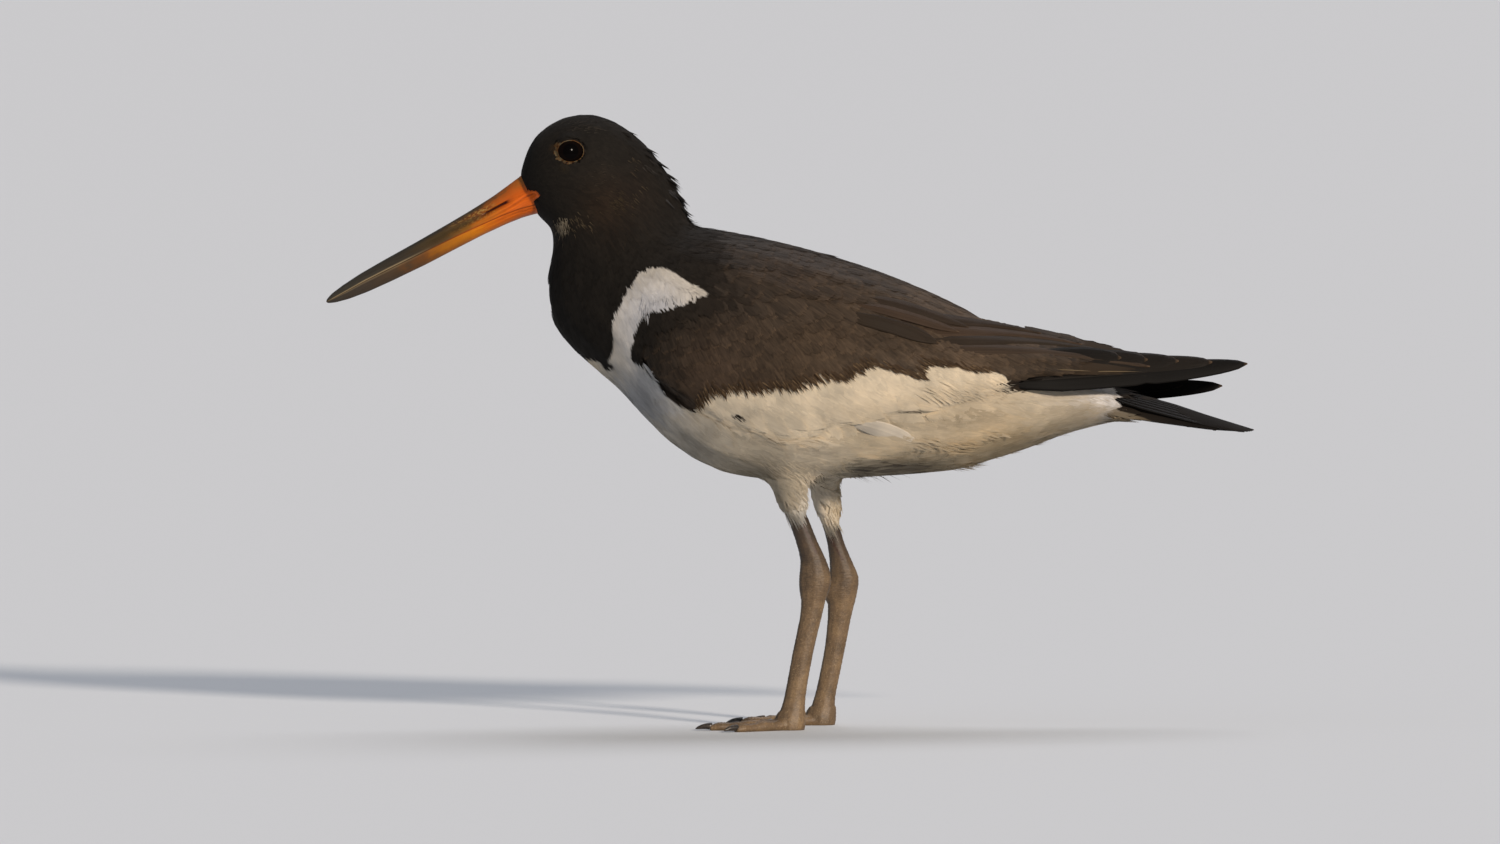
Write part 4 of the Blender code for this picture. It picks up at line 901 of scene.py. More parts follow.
class Vanes:
    """Closed feathers gathered as one mesh, each with a cell of its own on the unwrap."""

    def __init__(self, name, count):
        self.name, self.grid, self.made = name, math.ceil(math.sqrt(count)), 0
        self.places, self.faces, self.unwrap = [], [], []
        self.values = {"along": [], "across": [], "tint": [], "white": [], "fringe": [], "dark": [], "pale": []}

    def vane(self, top, thickness, tint, dark, fringe=1.0, white=-1.0, pale="#E2DCCF"):
        """Adds one feather from its upper surface, a grid of places from root to tip and from edge to edge."""
        steps, columns, _ = top.shape
        normal = np.cross(np.gradient(top, axis=1), np.gradient(top, axis=0))
        normal /= np.maximum(np.linalg.norm(normal, axis=2, keepdims=True), 1e-12)
        share = np.linspace(0, 1, steps)
        gone = np.linalg.norm(np.diff(top[:, columns // 2], axis=0), axis=1)
        along = 1 - np.minimum(1, np.append(np.cumsum(gone[::-1])[::-1], 0) / MM / WORN_REACH)
        body = np.sin(np.linspace(0, math.pi, columns)) ** 0.5
        shaft = np.exp(-(np.linspace(-1, 1, columns) / 0.12) ** 2) * 1.2
        depth = thickness * (body * (1 - 0.7 * share[:, None]) + shaft * (1 - share[:, None]))
        under = top - normal * (depth + 0.02 * MM)[..., None]
        first, half = len(self.places), steps * columns
        self.places += [tuple(place) for place in np.concatenate([top.reshape(-1, 3), under.reshape(-1, 3)])]
        for at in (first + step * columns + column for step in range(steps - 1) for column in range(columns - 1)):
            self.faces.append((at, at + columns, at + columns + 1, at + 1))
            self.faces.append((at + half, at + half + 1, at + half + columns + 1, at + half + columns))
        rim = [*range(0, half, columns), *range(half - columns + 1, half),
               *range(half - columns - 1, 0, -columns), *range(columns - 2, 0, -1)]
        for here, there in zip(rim, rim[1:] + rim[:1]):
            self.faces.append((first + there, first + here, first + half + here, first + half + there))
        across = np.linspace(0, 1, columns)
        cell = np.array((self.made % self.grid, self.made // self.grid))
        for lower in (0, 1):
            spot = np.broadcast_arrays(0.03 + 0.45 * across + 0.49 * lower, 0.03 + 0.94 * share[:, None])
            self.unwrap += list((cell + np.stack(spot, 2).reshape(-1, 2)) / self.grid)
        self.values["along"] += list(np.repeat(along, columns)) * 2
        self.values["across"] += list(2 * across - 1) * (2 * steps)
        colours = {"tint": tint, "white": white, "fringe": fringe, "dark": linear(dark), "pale": linear(pale)}
        for name, value in colours.items():
            self.values[name] += [value] * (2 * half)
        self.made += 1

    def finished(self, material):
        """The feathers as one shaded piece that rides with the bird."""
        mesh = bpy.data.meshes.new(self.name)
        mesh.from_pydata(self.places, [], self.faces)
        store(mesh, **self.values)
        corners = read_back(mesh.loops, "vertex_index", 1).astype(int)[:, 0]
        mesh.uv_layers.new(name="OFBake").data.foreach_set("uv", np.array(self.unwrap)[corners].ravel())
        piece = shown(self.name, smoothed(mesh, material))
        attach(piece, "root")
        return piece


def vane_widths(steps, breadth, point, draw, splits, widening=0.2):
    """Half the breadth from root to tip, rounded off after a share of the length, with barbs parted in places."""
    share = np.linspace(0, 1, steps)
    end = np.clip((share - point) / (1 - point), 0, 1)
    shape = np.minimum(1, 0.1 + share / widening) * np.sqrt(np.maximum(1 - end ** 2, 0.003))
    edges = []
    for edge in (0, 1):
        half = 0.5 * breadth * shape
        for _ in range(splits):
            at = draw.integers(int(steps * 0.4), steps - 2)
            half[at] *= draw.uniform(0.72, 0.9)
        edges.append(half)
    return edges


def laid_vane(side_name, root, bend, tip, breadth, height, steps, columns, point, draw):
    """The upper surface of a long feather that rises from under the coverts and lies on a wing form."""
    form, side = WING_FORMS[side_name], SIDES[side_name]
    path, across = bent(root, bend, tip, steps)
    path = path * MM
    edges = vane_widths(steps, breadth * MM, point, draw, 2, 0.55)
    hits = [form.ray_cast(Vector((x, RAY_START * side, z)), Vector((0, -side, 0)))[0] for x, z in path]
    depth = np.array([np.nan if hit is None else hit.y for hit in hits])
    known = ~np.isnan(depth)
    depth = np.polynomial.Polynomial.fit(np.flatnonzero(known), depth[known], 3)(np.arange(steps))
    top = np.zeros((steps, columns, 3))
    for step, column in np.ndindex(steps, columns):
        sideways = 2 * column / (columns - 1) - 1
        half = edges[0 if sideways < 0 else 1][step]
        spot = path[step] + across[step] * sideways * half
        found, normal, _, _ = form.find_nearest(Vector((spot[0], depth[step] + 2 * side * MM, spot[1])))
        share = step / (steps - 1)
        rise = height * (0.35 + 0.65 * share) - ROOT_DEPTH * smoothstep(0.5, 0.0, share)
        top[step, column] = found + normal * (rise - 0.10 * half * sideways ** 2)
    # The ground is a little rough under the long vane, so its surface is eased along its length.
    for _ in range(6):
        top[1:-1] = 0.5 * top[1:-1] + 0.25 * (top[:-2] + top[2:])
    return top if side < 0 else top[:, ::-1]


# A smooth copy of each folded wing and the trunk, for the long feathers to lie on.
WING_FORMS = {}
for side_name in SIDES:
    nodes = ("trunk", "neck", "wing_" + side_name, "primaries_" + side_name)
    form = one_surface("form_" + side_name, nodes, FORM_CELL, JOIN_GROWTH, FORM_SMOOTHING)
    WING_FORMS[side_name] = BVHTree.FromPolygons(
        [tuple(place) for place in read_vectors(form.data)], [tuple(face.vertices) for face in form.data.polygons])
    bpy.data.objects.remove(form)
for side_name, side in SIDES.items():
    draw = np.random.default_rng(51)
    tertials = Vanes("tertials_" + side_name, len(TERTIALS) + len(WORN_EDGE))
    for order, (*line, breadth) in enumerate(TERTIALS):
        line = [drooped(place, side, RIGHT_WING_DROP) for place in line]
        top = laid_vane(side_name, *line, breadth, 0.5 * MM + order % 4 * STACK, 22, 11, 0.72, draw)
        tertials.vane(top, 0.25 * MM, draw.uniform(0, 1), TERTIAL_BROWNS[order % 3], 1.6)
    for worn in WORN_EDGE if side < 0 else []:
        top = laid_vane(side_name, *worn, 0.75, 0.75 * MM, 16, 3, 0.5, draw)
        tertials.vane(top, 0.1 * MM, draw.uniform(0, 1), "#2B2219", 0, 9.0, "#5C4E3A")
    tertials.finished(VANE_PLUMAGE)
    # One smooth white flank feather has come forward over the edge of the wing.
    flank = Vanes("flank_feather_" + side_name, 1)
    top = laid_vane(side_name, (8, 121), (34, 119), (49, 110), 8.8, 0.6 * MM, 24, 13, 0.4, draw)
    flank.vane(top, 0.2 * MM, draw.uniform(0, 1), "#2C231A", 0, 9.0, "#D0C8BA")
    flank.finished(SOFT_PLUMAGE)


# ------------------------------------------------------------
# The primaries: the long black flight feathers of the folded wing. They run under the tertials, and their tips
# stand out behind, each longer one from under the next. They are stiff, tapered vanes, with the shaft thickened
# towards the root.
# Each: root, bend and tip as x and z in mm and the breadth in mm, from the longest and lowest to the uppermost.
PRIMARIES = [
    ((72, 134.4), (124, 136.6), (177.9, 142.0), 8.6), ((72, 136.6), (118, 139.4), (164, 142.7), 9.0),
    ((72, 137.8), (112, 141.2), (150.8, 143.2), 9.5), ((72, 139), (106, 142.6), (138.5, 143.8), 10),
    ((72, 140), (98, 144.2), (128, 144.6), 10)]
# How far out the wing's end stands from the middle of the bird, and how far it leans in towards its top.
BLADE_X = (70, 96, 111, 126, 139, 150, 160, 170, 179)
BLADE_OUT = (27.5, 20.5, 16.3, 13.8, 11.8, 10.4, 9.2, 8.3, 7.6)
BLADE_LEAN = (.5, .72, .95, 1.0, 1.0, 1.0, .9, .8, .7)
BLADE_MIDDLE = (137, 145, 144.5, 143.3, 142.3, 142.2, 142.1, 142.1, 142.1)
RIGHT_PRIMARY_DROP = math.radians(2.3)
RIGHT_PRIMARY_SHIFT = 8
PRIMARY_STACK = 0.30
for side_name, side in SIDES.items():
    draw = np.random.default_rng(61)
    primaries = Vanes("primaries_fan_" + side_name, len(PRIMARIES))
    for order, (*line, breadth) in enumerate(PRIMARIES):
        steps, columns = 30, 9
        path, across = bent(*line, steps)
        edges = vane_widths(steps, breadth, 0.6, draw, 1)
        edges = [edge * np.minimum(1, 0.2 + 2.6 * np.linspace(0, 1, steps)) for edge in edges]
        top = np.zeros((steps, columns, 3))
        for step, column in np.ndindex(steps, columns):
            sideways = 2 * column / (columns - 1) - 1
            x, z = path[step] + across[step] * sideways * edges[0 if sideways < 0 else 1][step]
            out, lean, middle = (np.interp(x, BLADE_X, row) for row in (BLADE_OUT, BLADE_LEAN, BLADE_MIDDLE))
            out += order * PRIMARY_STACK + 0.35 * (1 - sideways ** 2) - lean * (z - middle) * 0.6
            if side > 0:
                out -= 4 * smoothstep(10, 0, step)
            spot = drooped((x, z), side, RIGHT_PRIMARY_DROP)
            shift = RIGHT_PRIMARY_SHIFT if side > 0 else 0
            top[step, column] = ((spot[0] - shift) * MM, side * out * MM, spot[1] * MM)
        # The lowest primary lies in the tertials' shadow, and is painted darker as shade.
        primaries.vane(top if side < 0 else top[:, ::-1], 0.35 * MM, draw.uniform(0, 1),
                       "#0C0A08" if order == 0 else "#16120E", 1.6)
    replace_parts(primaries.finished(VANE_PLUMAGE), "primaries_" + side_name)


# ------------------------------------------------------------
# The tail: twelve black feathers, closed like a hand of cards. The middle pair lies on top, and each pair further
# out lies lower and ends a little shorter.
TAIL_PAIRS = 6
# Down the tail: the place, its upper face, how far its edges droop and half its width, in mm.
TAIL_X = (118, 124.3, 136, 150, 163, 173, 178.5, 181)
TAIL_TOP = (134.2, 132.4, 129.6, 125.8, 121.4, 118.3, 116.6, 115.8)
TAIL_DROOP = (4.5, 4.8, 4.8, 4.0, 2.6, 1.4, .7, .3)
TAIL_HALF = (12, 13.2, 15.2, 16.5, 16.8, 17.2, 17.4, 17.4)
FEATHER_BREADTH = 9.5
draw = np.random.default_rng(71)
tail = Vanes("tail_feathers", 2 * TAIL_PAIRS)
for pair in range(TAIL_PAIRS - 1, -1, -1):
    for side in (-1, 1):
        steps, columns = 26, 9
        ends = np.linspace(TAIL_X[0], TAIL_X[-1] - 0.35 * pair ** 1.6, steps)
        edges = vane_widths(steps, FEATHER_BREADTH, 0.8, draw, 0)
        top = np.zeros((steps, columns, 3))
        for step, column in np.ndindex(steps, columns):
            x = ends[step]
            fan = (pair + 0.5) / TAIL_PAIRS * (np.interp(x, TAIL_X, TAIL_HALF) - 4.2)
            sideways = 2 * column / (columns - 1) - 1
            y = side * fan + sideways * edges[0 if sideways < 0 else 1][step]
            droop = np.interp(x, TAIL_X, TAIL_DROOP) * (y / 17) ** 2
            z = np.interp(x, TAIL_X, TAIL_TOP) - droop - 0.28 * pair + 0.3 * (1 - sideways ** 2)
            top[step, column] = (x * MM, y * MM, z * MM)
        tail.vane(top[:, ::-1], 0.35 * MM, draw.uniform(0, 1), "#0E0C0A", 0.2)
tail.finished(VANE_PLUMAGE)


# ------------------------------------------------------------
# The bill: two blades of horn over bone, deep and narrow, that close on a fine mouth line. The upper one carries
# a nostril slit in a long groove on each side, and spreads into a soft lobe at the corner of the mouth.
# Each row: place along the bill, ridge, mouth line, lower edge and half width, in mm.
BILL_ROWS = np.array([
    (-8, 13.2, -.9, -5.6, 6.6), (-2.3, 11.7, -.5, -4.1, 6.3), (3, 10.6, .5, -3.2, 5.8), (10, 9.2, 1.0, -2.8, 5.1),
    (20, 7.9, 1.2, -2.8, 4.4), (30, 6.9, 1.2, -3.2, 3.9), (45, 5.6, .95, -3.9, 3.3), (60, 4.5, .6, -4.1, 2.7),
    (70, 3.6, .3, -4.0, 2.3), (78, 2.4, -.3, -3.4, 1.9), (83, 1.3, -.6, -2.5, 1.5), (85.2, .4, -.7, -1.8, 1.0),
    (86, -.1, -.75, -1.4, .6), (86.4, -.7, -.75, -.8, .08)])
BILL_STATIONS, BILL_COLUMNS, PALATE_COLUMNS = 190, 73, 7
GROOVE_ALONG = (2, 6, 16.6, 25, 40, 54)
GROOVE_UP = (5.7, 5.1, 4.5, 4.3, 3.9, 3.2)
LOBE_ALONG = (-6.6, -4.5, -2, 2, 6, 12, 22)
LOBE_UP = (2.3, 3.5, 3.9, 3.3, 2.8, 2.35, 2.2)


def ridge(distance, width):
    return np.exp(-(distance / width) ** 2)


def bill_relief(along, up, upper):
    """How far the horn's flank stands out, in mm: the long groove, the nostril, the ridge and the mouth's lobe."""
    if not upper:
        lip = np.interp(along, (-3, 6, 24), (-1.7, -.3, 0))
        return -0.25 * ridge(up - lip, .35) * smoothstep(26, 2, along)
    line, fold = np.interp(along, GROOVE_ALONG, GROOVE_UP), np.interp(along, LOBE_ALONG, LOBE_UP)
    slit = smoothstep(5.0, 6.8, along) * smoothstep(17.4, 15.4, along)
    relief = -0.55 * ridge(up - line, 1.15) * smoothstep(2, 7, along) * smoothstep(54, 34, along)
    relief += (-1.15 * ridge(up - line, .36) + 0.16 * ridge(np.abs(up - line) - .75, .25)) * slit
    relief += 0.22 * ridge(up - (line - 2.0), .7) * smoothstep(2, 8, along) * smoothstep(42, 24, along)
    relief -= 0.55 * ridge(up - fold, .3) * smoothstep(24, 6, along)
    relief += 0.3 * ridge(up - fold - .8, .5) * smoothstep(8, 1, along)
    return relief + 0.22 * ridge(up - fold + .75, .4) * smoothstep(34, 8, along)


def horn_half(name, upper, material):
    """One blade of the bill as a closed surface: its arched outer face and the flat face of the mouth."""
    stations = -7.6 + 94.0 * np.sin(np.linspace(0, 1, BILL_STATIONS) * math.pi / 2) ** 1.35
    culmen, mouth, gonys, half_width = (
        np.convolve(np.pad(np.interp(stations, BILL_ROWS[:, 0], row), 2, "edge"), np.ones(5) / 5, "valid")
        for row in BILL_ROWS[:, 1:].T)
    turn = np.linspace(0, math.pi, BILL_COLUMNS)
    round_out = np.cos(turn) * (1 - 0.22 * np.sin(turn))
    arch = np.sin(turn) ** 0.9
    up = mouth[:, None] + ((culmen if upper else gonys) - mouth)[:, None] * arch
    sideways = half_width[:, None] * round_out * (1.0 if upper else 0.965)
    along = np.repeat(stations[:, None], BILL_COLUMNS, axis=1)
    relief = bill_relief(along, up, upper) * np.abs(round_out) ** 0.5
    side = np.sign(round_out)
    out = np.abs(sideways) + relief
    x, z = (BILL_START[axis] + along * BILL_RUN[axis] + up * BILL_RISE[axis] for axis in (0, 1))
    # At the head the horn spreads over the skin as far as its edge, and goes under the feathers there.
    behind = beyond_the_horn(np.stack([x.ravel(), z.ravel()], axis=1)).reshape(x.shape)
    for station, column in np.argwhere((along < 0.5) & (side != 0)):
        far = Vector((x[station, column] * MM, RAY_START * side[column], z[station, column] * MM))
        hit = SKIN_TREE.ray_cast(far, Vector((0, -side[column], 0)))[0]
        if hit is not None and abs(hit.y) / MM > out[station, column] - 0.8:
            over = 1.5 * smoothstep(0.6, -0.5, behind[station, column]) - 0.5
            out[station, column] = abs(hit.y) / MM + over + relief[station, column]
    for _ in range(8):
        eased = out.copy()
        eased[1:-1] = 0.5 * out[1:-1] + 0.25 * (out[:-2] + out[2:])
        out = np.where((along < 2.5) & (along > -7), eased, out)
    grid = np.stack([x, side * out, z], axis=2) * MM
    # The face of the mouth closes each section from its second edge back to its first.
    inner = (np.arange(1, PALATE_COLUMNS + 1) / (PALATE_COLUMNS + 1))[:, None]
    inner = grid[:, -1][:, None] * (1 - inner) + grid[:, 0][:, None] * inner
    rings = np.concatenate([grid, inner], axis=1)
    count = rings.shape[1]
    places = [tuple(place) for place in rings.reshape(-1, 3)] + [tuple(rings[end].mean(axis=0)) for end in (0, -1)]
    faces = []
    for station, column in np.ndindex(BILL_STATIONS - 1, count):
        here, there = station * count + column, station * count + (column + 1) % count
        faces.append((here, here + count, there + count, there))
    last = (BILL_STATIONS - 1) * count
    for column in range(count):
        there = (column + 1) % count
        faces += [(len(places) - 2, column, there), (len(places) - 1, last + there, last + column)]
    mesh = bpy.data.meshes.new(name)
    mesh.from_pydata(places, [], faces if upper else [face[::-1] for face in faces])

    def closed(outer, palate, poles):
        """A value over the outer face, the mouth's face and the two poles."""
        parts = (np.broadcast_to(part, (BILL_STATIONS, columns))
                 for part, columns in ((outer, BILL_COLUMNS), (palate, PALATE_COLUMNS)))
        return np.append(np.concatenate(list(parts), axis=1).ravel(), poles)

    line = np.interp(stations, GROOVE_ALONG, GROOVE_UP)[:, None]
    store(mesh, rise=closed(arch, 0, (0, 0)), reach=closed(along, stations[:, None], stations[[0, -1]]),
          height=closed(up, mouth[:, None], mouth[[0, -1]]), across=closed(sideways, 0, (0, 0)),
          off_slit=closed(up - line, mouth[:, None] - line, (9, 9)), hollow=closed(relief, 0, (0, 0)))
    return shown(name, smoothed(mesh, material))


def horn(name, flank, top, upper):
    """Bill horn: waxy, coloured by place along the bill, finely lined along its length and a little flaked."""
    material, tree = blank_material(name)
    along, up, across, rise, hollow, off_slit = (
        add(tree, "Attribute", attribute_name=name, output="Fac")
        for name in ("reach", "height", "across", "rise", "hollow", "off_slit"))
    place = add(tree, "CombineXYZ", along, up, across)
    # The lines are about half a millimetre apart, and the flakes a millimetre long.
    lines = add(tree, "Mapping", {"Vector": place, "Scale": (0.09, 1.0, 1.0)})
    lines = add(tree, "TexNoise", lines, 1.9, 5.0, output="Fac")
    wander = add(tree, "Math ADD", lines, add(tree, "TexNoise", place, 0.22, 3.0, output="Fac"))
    wander = add(tree, "Math MULTIPLY", add(tree, "Math SUBTRACT", wander, 1.0), 14.0)
    reach = add(tree, "MapRange", add(tree, "Math ADD", along, wander), -8.0, 88.0)
    lifted = add(tree, "Math MULTIPLY", add(tree, "Math SUBTRACT", lines, 0.5), 0.5)
    lifted = add(tree, "MapRange", add(tree, "Math ADD", rise, lifted), 0.5, 0.92)
    flank, top = (add(tree, "ValToRGB", reach, stops=stops) for stops in (flank, top))
    colour = add(tree, "Mix", lifted, flank, top, data_type="RGBA")
    flakes = add(tree, "Mapping", {"Vector": place, "Scale": (1.0, 1.9, 1.9)})
    flakes = add(tree, "TexNoise", flakes, 0.85, 4.0, 0.62, output="Fac")
    stains = []
    if upper:
        # The skin round the nostril flakes, and the groove in front of it is olive.
        near = add(tree, "Math ABSOLUTE", add(tree, "Math SUBTRACT", off_slit, 0.5))
        off_slit = add(tree, "Math ABSOLUTE", off_slit)
        # Each span: what it follows, and where on that it starts and is full.
        spans = {
            "near": (near, 2.3, 1.2), "flaked": (along, 10.0, 15.0), "whole": (along, 34.0, 20.0),
            "peeled": (flakes, 0.5, 0.58), "stained": (flakes, 0.53, 0.45), "corner": (along, 2.5, -1.5),
            "brow": (up, 6.5, 9.5), "front": (along, 5.6, 6.6), "back": (along, 16.8, 15.8),
            "groove": (off_slit, 1.5, 0.4), "begins": (along, 15.0, 21.0), "ends": (along, 52.0, 36.0)}
        spans = {name: add(tree, "MapRange", *span) for name, span in spans.items()}
        slit = add(tree, "Math DIVIDE", off_slit, add(tree, "MapRange", along, 6.0, 16.5, 0.6, 0.25))
        spans["slit"] = add(tree, "MapRange", slit, 1.0, 0.6)
        near = add(tree, "Math MULTIPLY", spans["near"],
                   add(tree, "Math MULTIPLY", spans["flaked"], spans["whole"]))
        stains = [(near, spans["stained"], 0.6, "#4E2A14"), (near, spans["peeled"], 0.85, "#94743C"),
                  (spans["corner"], spans["brow"], 0.35, "#6E5C22"),
                  (spans["slit"], add(tree, "Math MULTIPLY", spans["front"], spans["back"]), None, "#3C0A0A"),
                  (spans["groove"], add(tree, "Math MULTIPLY", spans["begins"], spans["ends"]), 0.7, "#4A3B1E")]
    stains.append((add(tree, "MapRange", rise, 0.2, 0.06), add(tree, "MapRange", along, 40.0, 56.0),
                   0.7 if upper else 0.25, "#9A8765"))
    for first, second, strength, code in stains:
        share = add(tree, "Math MULTIPLY", first, second)
        share = add(tree, "Math MULTIPLY", share, strength) if strength else share
        colour = add(tree, "Mix", share, colour, linear(code), data_type="RGBA")
    edge = add(tree, "Mix", add(tree, "MapRange", along, 22.0, 46.0), linear("#8A3E0A"), linear("#3A2A18"),
               data_type="RGBA")
    colour = add(tree, "Mix", add(tree, "MapRange", rise, 0.06, 0.02), colour, edge, data_type="RGBA")
    # Painted shade darkens the hollows of the relief, and a painted highlight brightens its ridges.
    shade = add(tree, "Math MULTIPLY", add(tree, "MapRange", lines, 0.25, 0.75, 0.8, 1.14),
                add(tree, "MapRange", hollow, -0.5, 0.3, 0.62, 1.18))
    colour = add(tree, "VectorMath SCALE", colour, shade)
    relief = add(tree, "Math ADD", add(tree, "Math MULTIPLY", lines, 0.7),
                 add(tree, "Math MULTIPLY", flakes, 0.5))
    add(tree, "OutputMaterial", add(tree, "BsdfPrincipled", {
        "Base Color": colour, "Roughness": add(tree, "MapRange", lines, 0.2, 0.8, 0.34, 0.52),
        "Specular IOR Level": 0.22, "IOR": 1.5,
        "Normal": add(tree, "Bump", {"Height": relief, "Strength": 0.4, "Distance": 0.0002})}))
    return material


UPPER_HORN = horn(
    "orange and dusky bill horn",
    [(0, "#AE4C0A"), (.14, "#B6530A"), (.22, "#AC5A0A"), (.34, "#70460E"), (.44, "#48351A"), (.6, "#312A20"),
     (.8, "#312D26"), (1, "#333029")],
    [(0, "#94541A"), (.07, "#A04E10"), (.15, "#7A4416"), (.26, "#3A2D1C"), (.5, "#2B2720"), (1, "#2F2C27")], True)
LOWER_HORN = horn(
    "yellow orange and dusky bill horn",
    [(0, "#B04C08"), (.2, "#B85806"), (.32, "#B86C06"), (.43, "#965A08"), (.54, "#643B12"), (.66, "#40301E"),
     (.82, "#352C23"), (1, "#2F2B25")],
    [(0, "#A84A0A"), (.3, "#A05A08"), (.5, "#683F14"), (.66, "#3B2E21"), (1, "#2F2B25")], False)
for half, upper, material, slot in (("upper", True, UPPER_HORN, "orange_bill"),
                                    ("lower", False, LOWER_HORN, "dusky_bill")):
    blade = horn_half("horn_" + half, upper, material)
    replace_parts(blade, "bill_" + half)
    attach(blade, "root")


# ------------------------------------------------------------
# The eyes: glass balls, flatter from side to side, painted dark brown behind a clear front. Round each lies a
# thin dull orange-brown lid of bare skin, wider and flaky in front and below.
EYE_RADII = (6.6, 4.9, 6.6)
PUPIL = 2.9
LID_STEPS = 120
# The lid's section, as how far beyond the opening's edge and how far above the skin, in mm.
LID_PROFILE = [(-.1, -2.0), (-.14, -.9), (-.14, -.25), (-.1, .06), (.0, .16), (.08, .1), (.14, .0), (.3, -.04),
               (.7, .04), (1.05, .1), (1.4, .14), (1.8, .12), (2.2, .02), (2.6, -.4), (1.6, -1.2), (.6, -2.0)]
# Where the bare skin is widest round the eye, in degrees from the side of the tail.
FRONT_PATCH, LOWER_PATCH = 180, 262


def eye_glass():
    """Very dark brown iris with faint rays round a black pupil, under clear wet gloss."""
    material, tree = blank_material("dark brown eye")
    place = add(tree, "Attribute", attribute_name="iris", output="Vector")
    reach = add(tree, "VectorMath LENGTH", place, output="Value")
    rays = add(tree, "TexNoise", add(tree, "VectorMath NORMALIZE", place), 9.0, 3.0, output="Fac")
    iris = add(tree, "Mix", rays, linear("#090605"), linear("#0E0907"), data_type="RGBA")
    iris = add(tree, "Mix", add(tree, "MapRange", reach, 3.9, 4.8), iris, linear("#0A0605"), data_type="RGBA")
    pupil = add(tree, "MapRange", reach, PUPIL + 0.25, PUPIL)
    colour = add(tree, "Mix", pupil, iris, linear("#060505"), data_type="RGBA")
    # The clear front bulges a little towards the bill, so the light glints near the middle of the pupil.
    front = add(tree, "VectorMath ADD", add(tree, "NewGeometry", output="Normal"), (0.19, 0.0, 0.14))
    add(tree, "OutputMaterial", add(tree, "BsdfPrincipled", {
        "Base Color": colour, "Roughness": 0.3, "Specular IOR Level": 0.0, "Coat Weight": 0.035,
        "Coat Roughness": 0.09, "Coat Normal": add(tree, "VectorMath NORMALIZE", front)}))
    return material


def lid_skin():
    """Waxy bare skin, dull orange-brown, cracked into small flakes with dusky gaps."""
    material, tree = blank_material("waxy orange eyelid skin")
    place = add(tree, "Attribute", attribute_name="place", output="Vector")
    bare = add(tree, "Attribute", attribute_name="bare", output="Fac")
    patches = add(tree, "TexNoise", place, 0.9, 4.0, output="Fac")
    cracks = add(tree, "TexVoronoi", place, 1.8, feature="DISTANCE_TO_EDGE", output="Distance")
    tone = add(tree, "ValToRGB", patches, stops=[
        (.32, "#33200E"), (.45, "#56391C"), (.56, "#4F4430"), (.7, "#524B3B")])
    gap = add(tree, "MapRange", cracks, 0.09, 0.02, 0.0, 0.6)
    colour = add(tree, "Mix", gap, tone, linear("#3A2413"), data_type="RGBA")
    # Away from the crest the bare skin shows only in scraps between the feathers. The same near black is painted on
    # the lid's inner wall beside the ball, as shade in the hollow.
    scraps = add(tree, "MapRange", add(tree, "Math ADD", bare, patches), 0.86, 1.02)
    colour = add(tree, "Mix", scraps, linear("#14110D"), colour, data_type="RGBA")
    bump = add(tree, "Bump", {"Height": cracks, "Strength": 0.25, "Distance": 0.0002})
    add(tree, "OutputMaterial", add(tree, "BsdfPrincipled", {
        "Base Color": colour, "Roughness": 0.7, "Specular IOR Level": 0.08, "Normal": bump}))
    return material


def eyeball(name, side):
    """A smooth ball with its pole at the pupil, and each vertex's place on the iris."""
    ball = bmesh.new()
    bmesh.ops.create_uvsphere(ball, u_segments=48, v_segments=32, radius=1)
    middle = Vector((EYE.x, side * EYE.y, EYE.z))
    for vertex in ball.verts:
        across, down, up = vertex.co
        vertex.co = middle + Vector((across * EYE_RADII[0], up * EYE_RADII[1], -down * EYE_RADII[2])) * MM
    mesh = bpy.data.meshes.new(name)
    ball.to_mesh(mesh)
    ball.free()
    store(mesh, iris=(read_vectors(mesh) - middle) / MM * (1, 0, 1))
    return shown(name, smoothed(mesh, EYE_GLASS))


